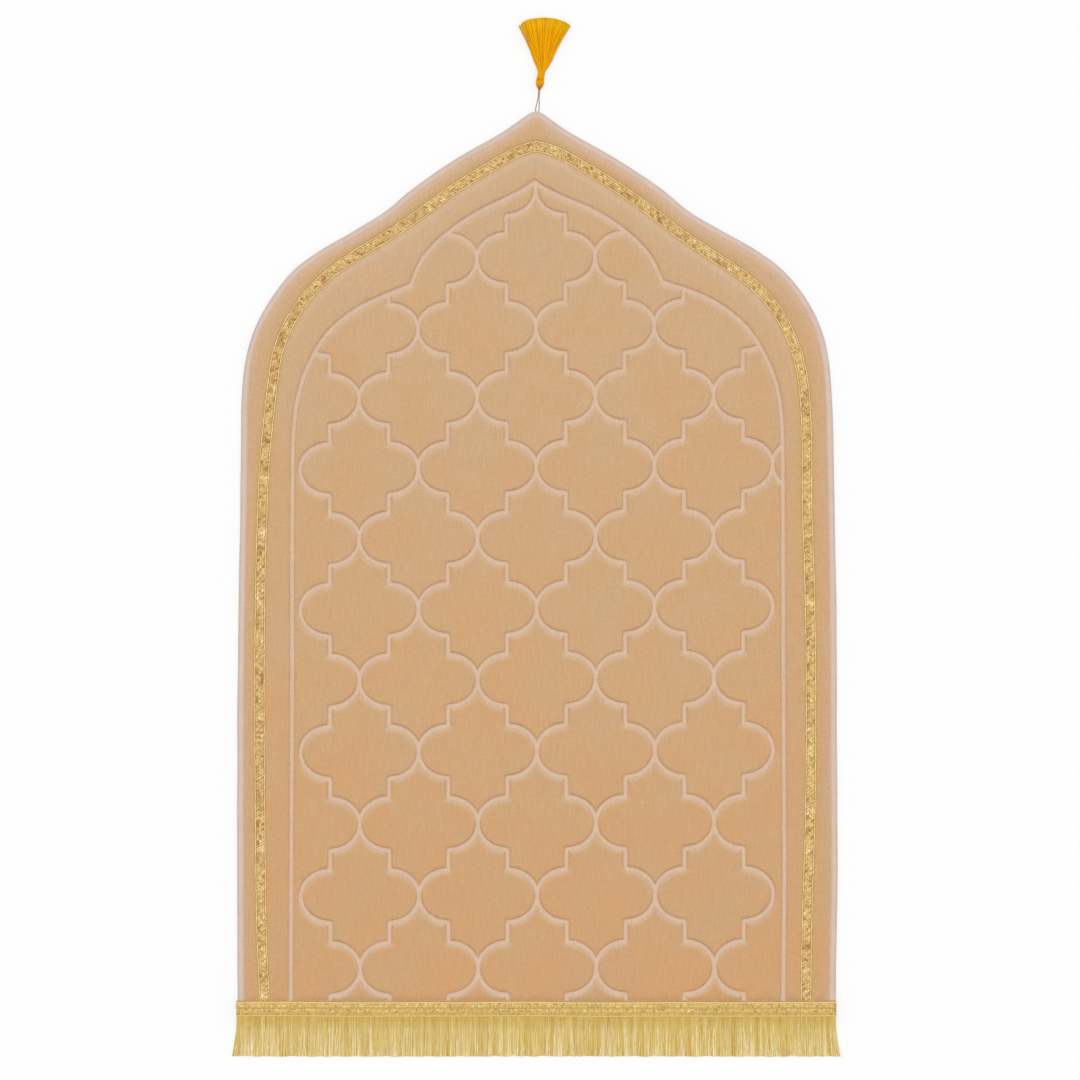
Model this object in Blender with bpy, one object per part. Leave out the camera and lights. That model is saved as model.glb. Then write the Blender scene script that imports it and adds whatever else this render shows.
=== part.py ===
"""Padded prayer rug: a velvet mat with an arched top, pressed with a quatrefoil trellis.

The rug lies flat on the floor. Units are metres, +Z is up and +Y runs towards the arch.
Every piece is modelled with y measured from the lower edge of the fringe's heading and x
from the rug's centre line, and then hangs on one empty that moves the rug's box centre to
the origin.
"""

import math

import bmesh
import bpy
import numpy as np
from mathutils import Vector
from mathutils.geometry import delaunay_2d_cdt

# ---------------------------------------------------------------- driving dimensions
GAP = 0.0003  # between pieces that touch

# The bound edge, from the point of the arch down to the heading.
EDGE_ROWS = [  # y, x of the left side, x of the right side
    (1.0558, 0.0000, 0.0000),
    (1.0534, -0.0072, 0.0064),
    (1.0331, -0.0368, 0.0358),
    (0.9982, -0.0976, 0.0972),
    (0.9632, -0.1473, 0.1481),
    (0.9399, -0.1742, 0.1767),
    (0.9166, -0.2124, 0.2161),
    (0.8933, -0.2524, 0.2577),
    (0.8701, -0.2832, 0.2881),
    (0.8351, -0.3108, 0.3161),
    (0.8002, -0.3297, 0.3327),
    (0.7652, -0.3397, 0.3411),
    (0.7186, -0.3439, 0.3452),
    (0.6550, -0.3444, 0.3467),
    (0.5905, -0.3456, 0.3484),
    (0.3809, -0.3486, 0.3508),
    (0.3000, -0.3489, 0.3506),
    (0.2411, -0.3490, 0.3513),
    (0.1700, -0.3490, 0.3518),
    (0.1000, -0.3489, 0.3505),
    (0.0006, -0.3487, 0.3491),
]
ARCH_APEX_Y = EDGE_ROWS[0][0]

# Centre line of the gold braid. It was sewn by hand, so its sides differ a little.
BRAID_ROWS = [  # y, x of the left side, x of the right side
    (1.0146, 0.0000, 0.0000),
    (1.0085, -0.0205, 0.0215),
    (0.9880, -0.0575, 0.0595),
    (0.9640, -0.0965, 0.0980),
    (0.9390, -0.1305, 0.1330),
    (0.9135, -0.1675, 0.1660),
    (0.8900, -0.2065, 0.2005),
    (0.8660, -0.2405, 0.2370),
    (0.8400, -0.2665, 0.2665),
    (0.8100, -0.2868, 0.2880),
    (0.7760, -0.3007, 0.3030),
    (0.7400, -0.3070, 0.3110),
    (0.7000, -0.3115, 0.3142),
    (0.6500, -0.3165, 0.3155),
    (0.5900, -0.3192, 0.3155),
    (0.5360, -0.3210, 0.3175),
    (0.4460, -0.3223, 0.3195),
    (0.3300, -0.3225, 0.3200),
    (0.2300, -0.3218, 0.3190),
    (0.1440, -0.3210, 0.3163),
    (0.0870, -0.3198, 0.3150),
    (0.0188, -0.3165, 0.3143),
]

# The pressed panel line: the upper foils of its arch, then the lower foils, which start at
# the cusps between them and run into the straight sides.
UPPER_FOIL_ROWS = [  # y, x of the left side, x of the right side
    (0.9731, -0.0018, -0.0018),
    (0.9681, -0.0083, 0.0044),
    (0.9570, -0.0284, 0.0249),
    (0.9385, -0.0671, 0.0655),
    (0.9235, -0.0912, 0.0905),
    (0.9060, -0.1135, 0.1123),
    (0.8845, -0.1325, 0.1317),
    (0.8542, -0.1463, 0.1469),
]
LOWER_FOIL_ROWS = [  # y, x of the left side, x of the right side
    (0.8542, -0.1463, 0.1469),
    (0.8416, -0.1790, 0.1830),
    (0.8294, -0.2052, 0.2083),
    (0.8135, -0.2283, 0.2309),
    (0.7934, -0.2476, 0.2500),
    (0.7695, -0.2621, 0.2647),
    (0.7435, -0.2727, 0.2763),
    (0.7165, -0.2794, 0.2830),
    (0.6850, -0.2828, 0.2860),
    (0.6000, -0.2842, 0.2873),
    (0.3500, -0.2846, 0.2881),
    (0.2300, -0.2852, 0.2888),
    (0.1600, -0.2855, 0.2891),
    (0.0900, -0.2858, 0.2883),
    (0.0030, -0.2860, 0.2877),
]

# Trellis of quatrefoils: rows of tiles, every second row set over by half a tile.
TILE_HALF = 0.0688  # half a tile's width, so neighbours' side lobes meet
LOBE_HALF = 0.0294  # half the height of a side lobe in the topmost whole row
LOBE_GROWTH = 0.000125  # a row
TOP_ROW_Y = 0.8834
ROW_PITCH = 0.08036
ROW_PITCH_GROWTH = 0.00023  # the rows grow a little taller towards the bottom
LAST_ROW = 11  # counted from the topmost whole row, and hidden under the heading
ARC_STEPS = 4  # segments in a quarter of a lobe
TRELLIS_SHIFT = 0.0011  # how far to the right its middle column lies at the heading
TRELLIS_SLANT = -0.0018  # and how that changes for each metre up the rug

# The press sat a little askew: the pattern climbs to the right, and more so near the arch.
LEAN = 0.0042
LEAN_GROWTH = 0.0113  # for each metre up the rug

# Heights of the mat over the floor
PAD_TOP = 0.0120
CHANNEL_FLOOR = 0.0080
BRAID_BED = 0.0085
SEAM_TOP = 0.0040  # the mat's rim inside the binding
RIM_BOTTOM = 0.0015  # the same rim is drawn up off the floor
HEADING_BED = 0.0055

# Half widths of the pressed channels and of the braid's bed
FLOOR_HALF = 0.0020
CHANNEL_HALF = 0.0050
BED_HALF = 0.0068
BED_SLOPE_HALF = 0.0115

# Distances in from the bound edge
RIM_INSET = 0.0018
SEAM_INSET = 0.0074
SWELL_INSET = 0.0092
SWELL_TOP = 0.0086
CROWN_INSET = 0.0140
UNDERSIDE_INSET = 0.0095

# Distances up from the heading's lower edge
MAT_END = 0.0020
HEADING_BED_END = 0.0188
HEADING_SLOPE_MID = 0.0240
HEADING_SLOPE_END = 0.0310

BINDING_HEIGHT = 0.0055
BINDING_CLOTH = 0.0012
BINDING_COVER = 0.0070  # how far it reaches over the mat
BINDING_ROUND = (0.0005, 0.0020)  # how far its fold is rounded, at the steep and flat ends

BRAID_WIDTH = 0.0120
BRAID_THICKNESS = 0.0012
BRAID_BEVEL = 0.0015
BRAID_EDGE = 0.0007  # its height at its two edges

HEADING_HEIGHT = 0.0182
HEADING_HALF_WIDTH = 0.3497
HEADING_BOTTOM = HEADING_BED + GAP
HEADING_CLOTH = 0.0012
HEADING_RIBS = 4
RIB_RISE = 0.0006
RIB_SECTION = [  # share of a rib's pitch, share of its rise
    (0.3, 1.0),
    (0.7, 1.0),
    (1.0, 0.0),
]
FRINGE_LENGTH = 0.0447
LOCKS = 176
LOCK_SHARE = 0.80  # of the pitch, the rest is the gap between locks
LOCK_LANDING = 0.0090  # where a lock reaches the floor
LOCK_TIP_SHARE = 0.66
LOCK_TIP_THICKNESS = 0.0008
LOCK_SWAY = 0.00025
LOCK_UNEVEN = 0.0012
FLARE = 0.0048  # how far the outermost tips stand out
FLARE_REACH = 0.0300
LANDING_LEAN = 0.12  # share of a lock's lean that it has where it lands

# The tassel, along its own axis from the tip of its head. Its neck is bent to the right.
TASSEL_X = 0.0033
TASSEL_Y = 1.0809
TASSEL_LEAN = math.radians(4.0)
TASSEL_SECTIONS = [  # distance, how far it is bent, half width, underside, top
    (0.0000, 0.0000, 0.0017, 0.0019, 0.0041),
    (0.0012, 0.0000, 0.0027, 0.0012, 0.0050),
    (0.0035, 0.0000, 0.0040, 0.0005, 0.0064),
    (0.0070, 0.0000, 0.0051, 0.0000, 0.0076),
    (0.0095, 0.0001, 0.0050, 0.0001, 0.0074),
    (0.0118, 0.0003, 0.0045, 0.0003, 0.0068),
    (0.0175, 0.0009, 0.0045, 0.0003, 0.0066),
    (0.0215, 0.0015, 0.0051, 0.0001, 0.0062),
]
TASSEL_SIDES = 14
SKIRT_ROOT = 0.0240
SKIRT_ROOT_BEND = 0.0018
SKIRT_ROOT_HALF = 0.0059
SKIRT_ROOT_THICKNESS = 0.0057
SKIRT_LIFT = 0.0001  # the roots are this far off the floor
SKIRT_TIP_HALF = 0.0300  # to the middle of the outermost locks
SKIRT_LENGTH = 0.0844  # from the tip of the head
SKIRT_TIP_DROP = 0.0110  # the outer locks end this much lower
SKIRT_LOCKS = 14
SKIRT_LAYERS = 3
SKIRT_LOCK_SHARE = 0.74
SKIRT_TIP_SHARE = 0.86
SKIRT_TIP_LAYER = 0.0013
SKIRT_TIP_THICKNESS = 0.0009

# The tassel's thread: out of the mat's edge, round inside the head and back
THREAD = 0.0009
THREAD_TURN = 0.0018  # radius of the turn inside the head
THREAD_TURN_Y = 0.0048  # its centre's distance from the tip of the head
THREAD_TURN_POINTS = 11
THREAD_PAIR = THREAD + GAP + 0.00005  # between the two strands where they run together
THREAD_ROOT_Z = 0.00275  # halfway up the binding
THREAD_LEG_ROWS = [  # left x, right x, y, z
    (-0.00075, 0.00315, 1.0588, 0.0020),
    (0.00020, 0.00345, 1.0630, 0.0010),
    (0.00130, 0.00335, 1.0680, 0.0007),
    (0.00195, 0.00330, 1.0720, 0.0009),
    (0.00240, 0.00368, 1.0765, 0.0019),
]
THREAD_ROOTS_X = (-0.0010, 0.0030)
THREAD_HEAD_Z = 0.0031
POCKET_HALF_HEIGHT = 0.0009
POCKET_SLACK = 0.00012  # past the gap, for the facets of the thread
POCKET_MOUTH = 0.0010  # how far the cutter reaches out of the head

COLOURS = {  # node: base colour, roughness, metallic
    "mat": ((0.68, 0.42, 0.21, 1), 0.9, 0.0),
    "edge_binding": ((0.74, 0.54, 0.42, 1), 0.9, 0.0),
    "gold_braid": ((0.80, 0.58, 0.15, 1), 0.35, 0.8),
    "fringe": ((0.82, 0.66, 0.25, 1), 0.45, 0.6),
    "tassel": ((0.88, 0.47, 0.02, 1), 0.45, 0.0),
    "tassel_loop": ((0.55, 0.36, 0.10, 1), 0.5, 0.3),
}
CURVE_TOLERANCE = 0.00035
JOIN_TOLERANCE = 0.0001
TRIM_SLACK = 0.00002


# ---------------------------------------------------------------- plane curves
def smooth(rows, steps=16):
    """A centripetal Catmull-Rom curve through the rows, sampled finely."""
    points = np.array(rows, float)
    padded = np.vstack([2 * points[0] - points[1], points, 2 * points[-1] - points[-2]])
    made = [points[0]]
    for i in range(1, len(padded) - 2):
        p = padded[i - 1 : i + 3]
        t = np.r_[0, np.cumsum(np.linalg.norm(np.diff(p, axis=0), axis=1) ** 0.5)]
        for s in np.linspace(t[1], t[2], steps + 1)[1:]:
            a = [
                p[j] + (p[j + 1] - p[j]) * (s - t[j]) / (t[j + 1] - t[j])
                for j in range(3)
            ]
            b = [
                a[j] + (a[j + 1] - a[j]) * (s - t[j]) / (t[j + 2] - t[j])
                for j in range(2)
            ]
            made.append(b[0] + (b[1] - b[0]) * (s - t[1]) / (t[2] - t[1]))
    return np.array(made)


def simplify(points, tolerance=CURVE_TOLERANCE):
    """The fewest of the points that keep the curve within the tolerance."""
    if len(points) < 3:
        return points
    start, end = points[0], points[-1]
    chord = (end - start) / np.linalg.norm(end - start)
    off = points - start
    away = np.abs(off[:, 0] * chord[1] - off[:, 1] * chord[0])
    worst = int(np.argmax(away))
    if away[worst] < tolerance:
        return np.array([start, end])
    before = simplify(points[: worst + 1], tolerance)
    return np.vstack([before[:-1], simplify(points[worst:], tolerance)])


def both_sides(*tables):
    """A line up its left side and down its right, from tables that start at its top."""
    sides = []
    for column in (1, 2):
        curves = [smooth([(row[column], row[0]) for row in table]) for table in tables]
        curves = [simplify(curve) for curve in curves]
        sides.append(np.vstack([curves[0], *[curve[1:] for curve in curves[1:]]]))
    return np.vstack([sides[0][::-1], sides[1][1:]])


def leaning(points):
    """The points of the pressed pattern, as askew as the press sat."""
    x, y = points.T
    return np.column_stack([x, y + x * (LEAN + LEAN_GROWTH * y)])


def offset(line, distance, closed=False):
    """The line moved to its right by distance, with mitred corners."""
    if closed:
        before, after = np.roll(line, 1, axis=0), np.roll(line, -1, axis=0)
    else:
        before = np.vstack([2 * line[0] - line[1], line[:-1]])
        after = np.vstack([line[1:], 2 * line[-1] - line[-2]])
    first, second = line - before, after - line
    first /= np.linalg.norm(first, axis=1)[:, None]
    second /= np.linalg.norm(second, axis=1)[:, None]
    normals = [np.column_stack([d[:, 1], -d[:, 0]]) for d in (first, second)]
    mitre = normals[0] + normals[1]
    mitre /= np.maximum(np.einsum("ij,ij->i", mitre, normals[0]), 0.25)[:, None]
    return line + mitre * distance


def segments(line, closed=False):
    """The line's segments as rows of x0, y0, x1, y1."""
    ends = np.roll(line, -1, axis=0) if closed else line[1:]
    starts = line if closed else line[:-1]
    return np.hstack([starts, ends])


def distance(points, pieces):
    """How far each point is from the nearest of the segments."""
    a, b = pieces[:, :2], pieces[:, 2:]
    run = b - a
    length = np.einsum("ij,ij->i", run, run)
    nearest = np.full(len(points), np.inf)
    for k in range(0, len(points), 400):
        off = points[k : k + 400, None] - a[None]
        share = np.clip(np.einsum("nij,ij->ni", off, run) / length, 0, 1)
        gap = off - share[..., None] * run[None]
        nearest[k : k + 400] = np.sqrt(np.einsum("nij,nij->ni", gap, gap).min(1))
    return nearest


def inside(points, outline):
    """Whether each point lies inside the closed outline."""
    x, y = points[:, 0, None], points[:, 1, None]
    x0, y0, x1, y1 = segments(outline, closed=True).T
    level = (y0 > y) != (y1 > y)
    rise = np.where(y1 == y0, 1, y1 - y0)
    crossing = level & (x < (x1 - x0) * (y - y0) / rise + x0)
    return crossing.sum(1) % 2 == 1


def trimmed(line, keep):
    """The stretches of the line whose points pass the test keep."""
    passes = keep(line)
    stretches, current = [], []
    for i, point in enumerate(line):
        if i and passes[i] != passes[i - 1]:
            good, bad = (line[i - 1], point) if passes[i - 1] else (point, line[i - 1])
            for _ in range(24):
                middle = (good + bad) / 2
                if keep(middle[None])[0]:
                    good = middle
                else:
                    bad = middle
            current.append(good)
            if passes[i - 1]:
                stretches.append(current)
                current = []
        if passes[i]:
            current.append(point)
    stretches.append(current)
    return [np.array(s) for s in stretches if len(s) > 1]


# ---------------------------------------------------------------- the rug's lines
EDGE = both_sides(EDGE_ROWS)
BRAID = both_sides(BRAID_ROWS)
PANEL = leaning(both_sides(UPPER_FOIL_ROWS, LOWER_FOIL_ROWS))


def row_y(row):
    """Height of a trellis row's centre line."""
    return TOP_ROW_Y - ROW_PITCH * row - ROW_PITCH_GROWTH * row * row


def right_side(x, row):
    """The right half of a tile's outline, from its upper tip down to its lower tip."""
    turn = np.linspace(0, math.pi / 2, ARC_STEPS + 1)
    lobe = TILE_HALF / 2
    across, rise = lobe * np.cos(turn), np.sin(turn)
    above, level, below = (LOBE_HALF + LOBE_GROWTH * r for r in (row - 1, row, row + 1))
    step_x, y = x + lobe, row_y(row)
    arcs = [
        (step_x - across, row_y(row - 1) - above * rise),
        (step_x + across[::-1], y + level * rise[::-1]),
        (step_x + across[1:], y - level * rise[1:]),
        (step_x - across[::-1], row_y(row + 1) + below * rise[::-1]),
    ]
    return np.vstack([np.column_stack(a) for a in arcs])


def as_pressed(line):
    """A line of the trellis where the press set it."""
    return leaning(line + np.outer(TRELLIS_SHIFT + TRELLIS_SLANT * line[:, 1], [1, 0]))


def tile_outlines():
    """Each tile's outline as (line, closed), with the half tiles at the panel's sides."""
    made = []
    for row in range(-1, LAST_ROW + 1):
        places = (-1.5, -0.5, 0.5, 1.5) if row % 2 else (-1, 0, 1)
        for place in places:
            x = place * 2 * TILE_HALF
            right = right_side(x, row)
            left = right[::-1] * [-1, 1] + [2 * x, 0]
            made.append((as_pressed(np.vstack([right[:-1], left[:-1]])), True))
        if row % 2 == 0 and row > 0:
            x = 4 * TILE_HALF
            right = right_side(-x, row)
            made.append((as_pressed(right), False))
            made.append((as_pressed(right[::-1] * [-1, 1]), False))
    return made


def pressed_lines():
    """The segments of every pressed line, and the rows of points along their channels."""
    tiles = tile_outlines()

    def in_panel(points):
        return inside(points, PANEL)

    pieces = [segments(PANEL)]
    for line, closed in tiles:
        whole = np.vstack([line, line[:1]]) if closed else line
        pieces += [segments(s) for s in trimmed(whole, in_panel)]
    pieces = np.vstack(pieces)

    rows = []
    for half in (FLOOR_HALF, CHANNEL_HALF):

        def clear(points, half=half):
            free = distance(points, pieces) > half - TRIM_SLACK
            return free & in_panel(points) & (points[:, 1] > HEADING_BED_END)

        for line, closed in tiles:
            moved = offset(line, half, closed)
            moved = np.vstack([moved, moved[:1]]) if closed else moved
            rows += trimmed(moved, clear)
        rows += trimmed(offset(PANEL, half), clear)
        rows.append(offset(PANEL, -half))
    return pieces, rows


# ---------------------------------------------------------------- mesh helpers
def finished(name, bm):
    """Turns the bmesh into the named object, with its own material, facing out."""
    bmesh.ops.recalc_face_normals(bm, faces=bm.faces)
    mesh = bpy.data.meshes.new(name)
    bm.to_mesh(mesh)
    bm.free()
    return placed(name, mesh)


def placed(name, data):
    """Links an object with its own material, hung on the rug's empty."""
    colour, roughness, metallic = COLOURS[name]
    material = bpy.data.materials.new(name)
    material.use_nodes = True
    shader = material.node_tree.nodes["Principled BSDF"]
    shader.inputs["Base Color"].default_value = colour
    shader.inputs["Roughness"].default_value = roughness
    shader.inputs["Metallic"].default_value = metallic
    data.materials.append(material)
    thing = bpy.data.objects.new(name, data)
    bpy.context.scene.collection.objects.link(thing)
    thing.parent = bpy.data.objects["rug"]
    return thing


def loft(bm, rings, caps=True):
    """Skins a list of equal rings of points, with a face over each end."""
    loops = [[bm.verts.new(p) for p in ring] for ring in rings]
    count = len(loops[0])
    for lower, upper in zip(loops, loops[1:]):
        for i in range(count):
            j = (i + 1) % count
            bm.faces.new((lower[i], lower[j], upper[j], upper[i]))
    if caps:
        bm.faces.new(loops[0][::-1])
        bm.faces.new(loops[-1])
    return loops


def edge_loop(bm, corners):
    """The edges of a closed ring of vertices."""
    return [bm.edges.get(pair) for pair in zip(corners, corners[1:] + corners[:1])]


# ---------------------------------------------------------------- the mat
def mat_height(points, pressed):
    """Height of the mat's velvet face over the floor at each point."""
    edge = distance(points, segments(EDGE))
    braid = distance(points, segments(BRAID))
    channel = distance(points, pressed)
    crown = np.interp(
        edge,
        [SEAM_INSET, SWELL_INSET, CROWN_INSET],
        [SEAM_TOP, SWELL_TOP, PAD_TOP],
    )
    bed = np.interp(braid, [BED_HALF, BED_SLOPE_HALF], [BRAID_BED, PAD_TOP])
    groove = np.interp(channel, [FLOOR_HALF, CHANNEL_HALF], [CHANNEL_FLOOR, PAD_TOP])
    heel = np.interp(
        points[:, 1],
        [HEADING_BED_END, HEADING_SLOPE_MID, HEADING_SLOPE_END],
        [HEADING_BED, BRAID_BED, PAD_TOP],
    )
    return np.minimum.reduce([crown, bed, groove, heel])


def nearest_index(points, place):
    return int(np.argmin(np.linalg.norm(points - place, axis=1)))


def step_down(bm, edges, index_of, ring, height):
    """Extrudes a closed loop of edges to the points of the ring at that height."""
    copies = {v: bm.verts.new((*ring[i], height)) for v, i in index_of.items()}
    for edge in edges:
        a, b = edge.verts
        bm.faces.new((a, b, copies[b], copies[a]))
    made = [bm.edges.get([copies[v] for v in e.verts]) for e in edges]
    return made, {copies[v]: i for v, i in index_of.items()}


def above_heading(points):
    return points[:, 1] > HEADING_BED_END


def make_mat():
    pressed, rows = pressed_lines()
    for inset in (SWELL_INSET, CROWN_INSET):
        rows.append(offset(EDGE, inset))
    for half in (BED_HALF, BED_SLOPE_HALF):
        rows += [offset(BRAID, half), offset(BRAID, -half)]
    rows = [s for row in rows for s in trimmed(row, above_heading)]
    rows += trimmed(offset(EDGE, SEAM_INSET), lambda p: p[:, 1] > 1.5 * MAT_END)
    for y in (HEADING_BED_END, HEADING_SLOPE_MID, HEADING_SLOPE_END):
        reach = HEADING_HALF_WIDTH - SEAM_INSET
        rows.append(np.array([(-reach, y), (reach, y)]))

    rim = offset(EDGE, RIM_INSET)
    rim[[0, -1], 1] = MAT_END

    coordinates = [Vector(p) for p in rim]
    edges = [(i, (i + 1) % len(rim)) for i in range(len(rim))]
    for row in rows:
        first = len(coordinates)
        coordinates += [Vector(p) for p in row]
        edges += [(first + i, first + i + 1) for i in range(len(row) - 1)]
    flat, _, triangles, *_ = delaunay_2d_cdt(
        coordinates, edges, [], 0, JOIN_TOLERANCE, False
    )
    plan = np.array([tuple(p) for p in flat])
    height = mat_height(plan, pressed)
    triangles = np.array(triangles)
    within = inside(plan[triangles].mean(axis=1), rim)

    bm = bmesh.new()
    top = [bm.verts.new((x, y, z)) for (x, y), z in zip(plan, height)]
    for corners in triangles[within]:
        bm.faces.new([top[i] for i in corners])

    underside = [  # distance in from the bound edge, height
        (RIM_INSET, RIM_BOTTOM),
        (SEAM_INSET, RIM_BOTTOM),
        (UNDERSIDE_INSET, 0.0),
    ]
    around = [e for e in bm.edges if e.is_boundary]
    plan_of = {v: nearest_index(rim, v.co.xy) for e in around for v in e.verts}
    for inset, height in underside:
        ring = offset(rim, inset - RIM_INSET, closed=True)
        around, plan_of = step_down(bm, around, plan_of, ring, height)
    bmesh.ops.contextual_create(bm, geom=around)
    return finished("mat", bm)


# ---------------------------------------------------------------- binding and braid
def make_binding():
    """The folded strip: its section is a flat C, open towards the mat."""
    top, cloth, cover = BINDING_HEIGHT, BINDING_CLOTH, BINDING_COVER
    steep, flat = BINDING_ROUND
    section = [  # distance in from the edge, height
        (0.0, top / 2),
        (steep, top - flat / 2),
        (flat, top),
        (cover - flat / 2, top),
        (cover, top - steep),
        (cover, top - cloth),
        (RIM_INSET - GAP, top - cloth),
        (RIM_INSET - GAP, cloth),
        (cover, cloth),
        (cover, 0.0),
        (flat, 0.0),
        (steep, flat / 2),
    ]
    rings = [
        [(*point, height) for point in offset(EDGE, inset)] for inset, height in section
    ]
    stations = [[ring[i] for ring in rings] for i in range(len(EDGE))]
    bm = bmesh.new()
    loft(bm, stations)
    return finished("edge_binding", bm)


def make_braid():
    """The braid lies on its bed in the mat and dips where it runs to the heading."""
    line = trimmed(BRAID, lambda p: p[:, 1] > HEADING_SLOPE_MID)[0]
    ends = [np.array([line[i, 0], HEADING_BED_END]) for i in (0, -1)]
    line = np.vstack([ends[0], line, ends[1]])
    bed = np.full(len(line), BRAID_BED + GAP)
    bed[[0, -1]] = HEADING_BED + GAP
    half = BRAID_WIDTH / 2
    section = [  # distance across, height over the bed
        (-half, 0.0),
        (-half, BRAID_EDGE),
        (-half + BRAID_BEVEL, BRAID_THICKNESS),
        (half - BRAID_BEVEL, BRAID_THICKNESS),
        (half, BRAID_EDGE),
        (half, 0.0),
    ]
    sides = [offset(line, across) for across, _ in section]
    stations = [
        [(*side[i], bed[i] + rise) for side, (_, rise) in zip(sides, section)]
        for i in range(len(line))
    ]
    bm = bmesh.new()
    loft(bm, stations)
    return finished("gold_braid", bm)


# ---------------------------------------------------------------- fringe
def make_fringe():
    """The ribbed heading with its locks grown out of its lower edge."""
    random = np.random.default_rng(7)
    half = HEADING_HALF_WIDTH
    low, high = HEADING_BOTTOM, HEADING_BOTTOM + HEADING_CLOTH
    pitch = 2 * half / LOCKS
    ends = [-half]
    for i in range(LOCKS):
        middle = -half + (i + 0.5) * pitch
        ends += [middle - pitch * LOCK_SHARE / 2, middle + pitch * LOCK_SHARE / 2]
    ends.append(half)

    bm = bmesh.new()
    under = [bm.verts.new((x, 0, low)) for x in ends]
    over = [bm.verts.new((x, 0, high)) for x in ends]
    back = [bm.verts.new((x, HEADING_HEIGHT, low)) for x in (-half, half)]
    bm.faces.new([*under, back[1], back[0]])

    ribs = []
    rib_pitch = HEADING_HEIGHT / HEADING_RIBS
    for k in range(HEADING_RIBS):
        for step, share in RIB_SECTION:
            y, z = (k + step) * rib_pitch, high + share * RIB_RISE
            ribs.append([bm.verts.new((x, y, z)) for x in (-half, half)])
    bm.faces.new([*over[::-1], ribs[0][0], ribs[0][1]])
    for (a, b), (c, d) in zip(ribs, ribs[1:]):
        bm.faces.new((a, c, d, b))
    bm.faces.new((ribs[-1][0], back[0], back[1], ribs[-1][1]))
    bm.faces.new([under[0], over[0], *[r[0] for r in ribs], back[0]])
    bm.faces.new([under[-1], back[1], *[r[1] for r in ribs][::-1], over[-1]])
    for i in range(0, len(ends) - 1, 2):
        bm.faces.new((under[i], under[i + 1], over[i + 1], over[i]))

    for i in range(LOCKS):
        root = [under[2 * i + 1], under[2 * i + 2], over[2 * i + 2], over[2 * i + 1]]
        middle = -half + (i + 0.5) * pitch
        spread = max(0.0, (abs(middle) - half + FLARE_REACH) / FLARE_REACH) ** 2
        lean = math.copysign(FLARE * spread, middle)
        sway = random.uniform(-LOCK_SWAY, LOCK_SWAY)
        length = FRINGE_LENGTH - random.uniform(0, LOCK_UNEVEN)
        wide, narrow = pitch * LOCK_SHARE / 2, pitch * LOCK_TIP_SHARE / 2
        stations = [  # x, y, half width, thickness
            (middle + lean * LANDING_LEAN, -LOCK_LANDING, wide, HEADING_CLOTH),
            (middle + lean + sway, -length, narrow, LOCK_TIP_THICKNESS),
        ]
        for x, y, side, thick in stations:
            ring = [
                bm.verts.new((x + dx, y, z))
                for dx, z in ((-side, 0), (side, 0), (side, thick), (-side, thick))
            ]
            for j in range(4):
                k = (j + 1) % 4
                bm.faces.new((root[j], root[k], ring[k], ring[j]))
            root = ring
        bm.faces.new(root)
    return finished("fringe", bm)


# ---------------------------------------------------------------- tassel
def skirt_grid():
    """Where the skirt's locks start and end, as cells of a grid over the neck's end."""
    columns = []
    pitch = 2 * SKIRT_ROOT_HALF / SKIRT_LOCKS
    side = pitch * SKIRT_LOCK_SHARE / 2
    for i in range(SKIRT_LOCKS):
        middle = SKIRT_ROOT_BEND - SKIRT_ROOT_HALF + (i + 0.5) * pitch
        columns += [middle - side, middle + side]
    rows = []
    level = SKIRT_ROOT_THICKNESS / SKIRT_LAYERS
    for i in range(SKIRT_LAYERS):
        rows += [i * level + SKIRT_LIFT, (i + 1) * level - GAP]
    return columns, rows


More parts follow.
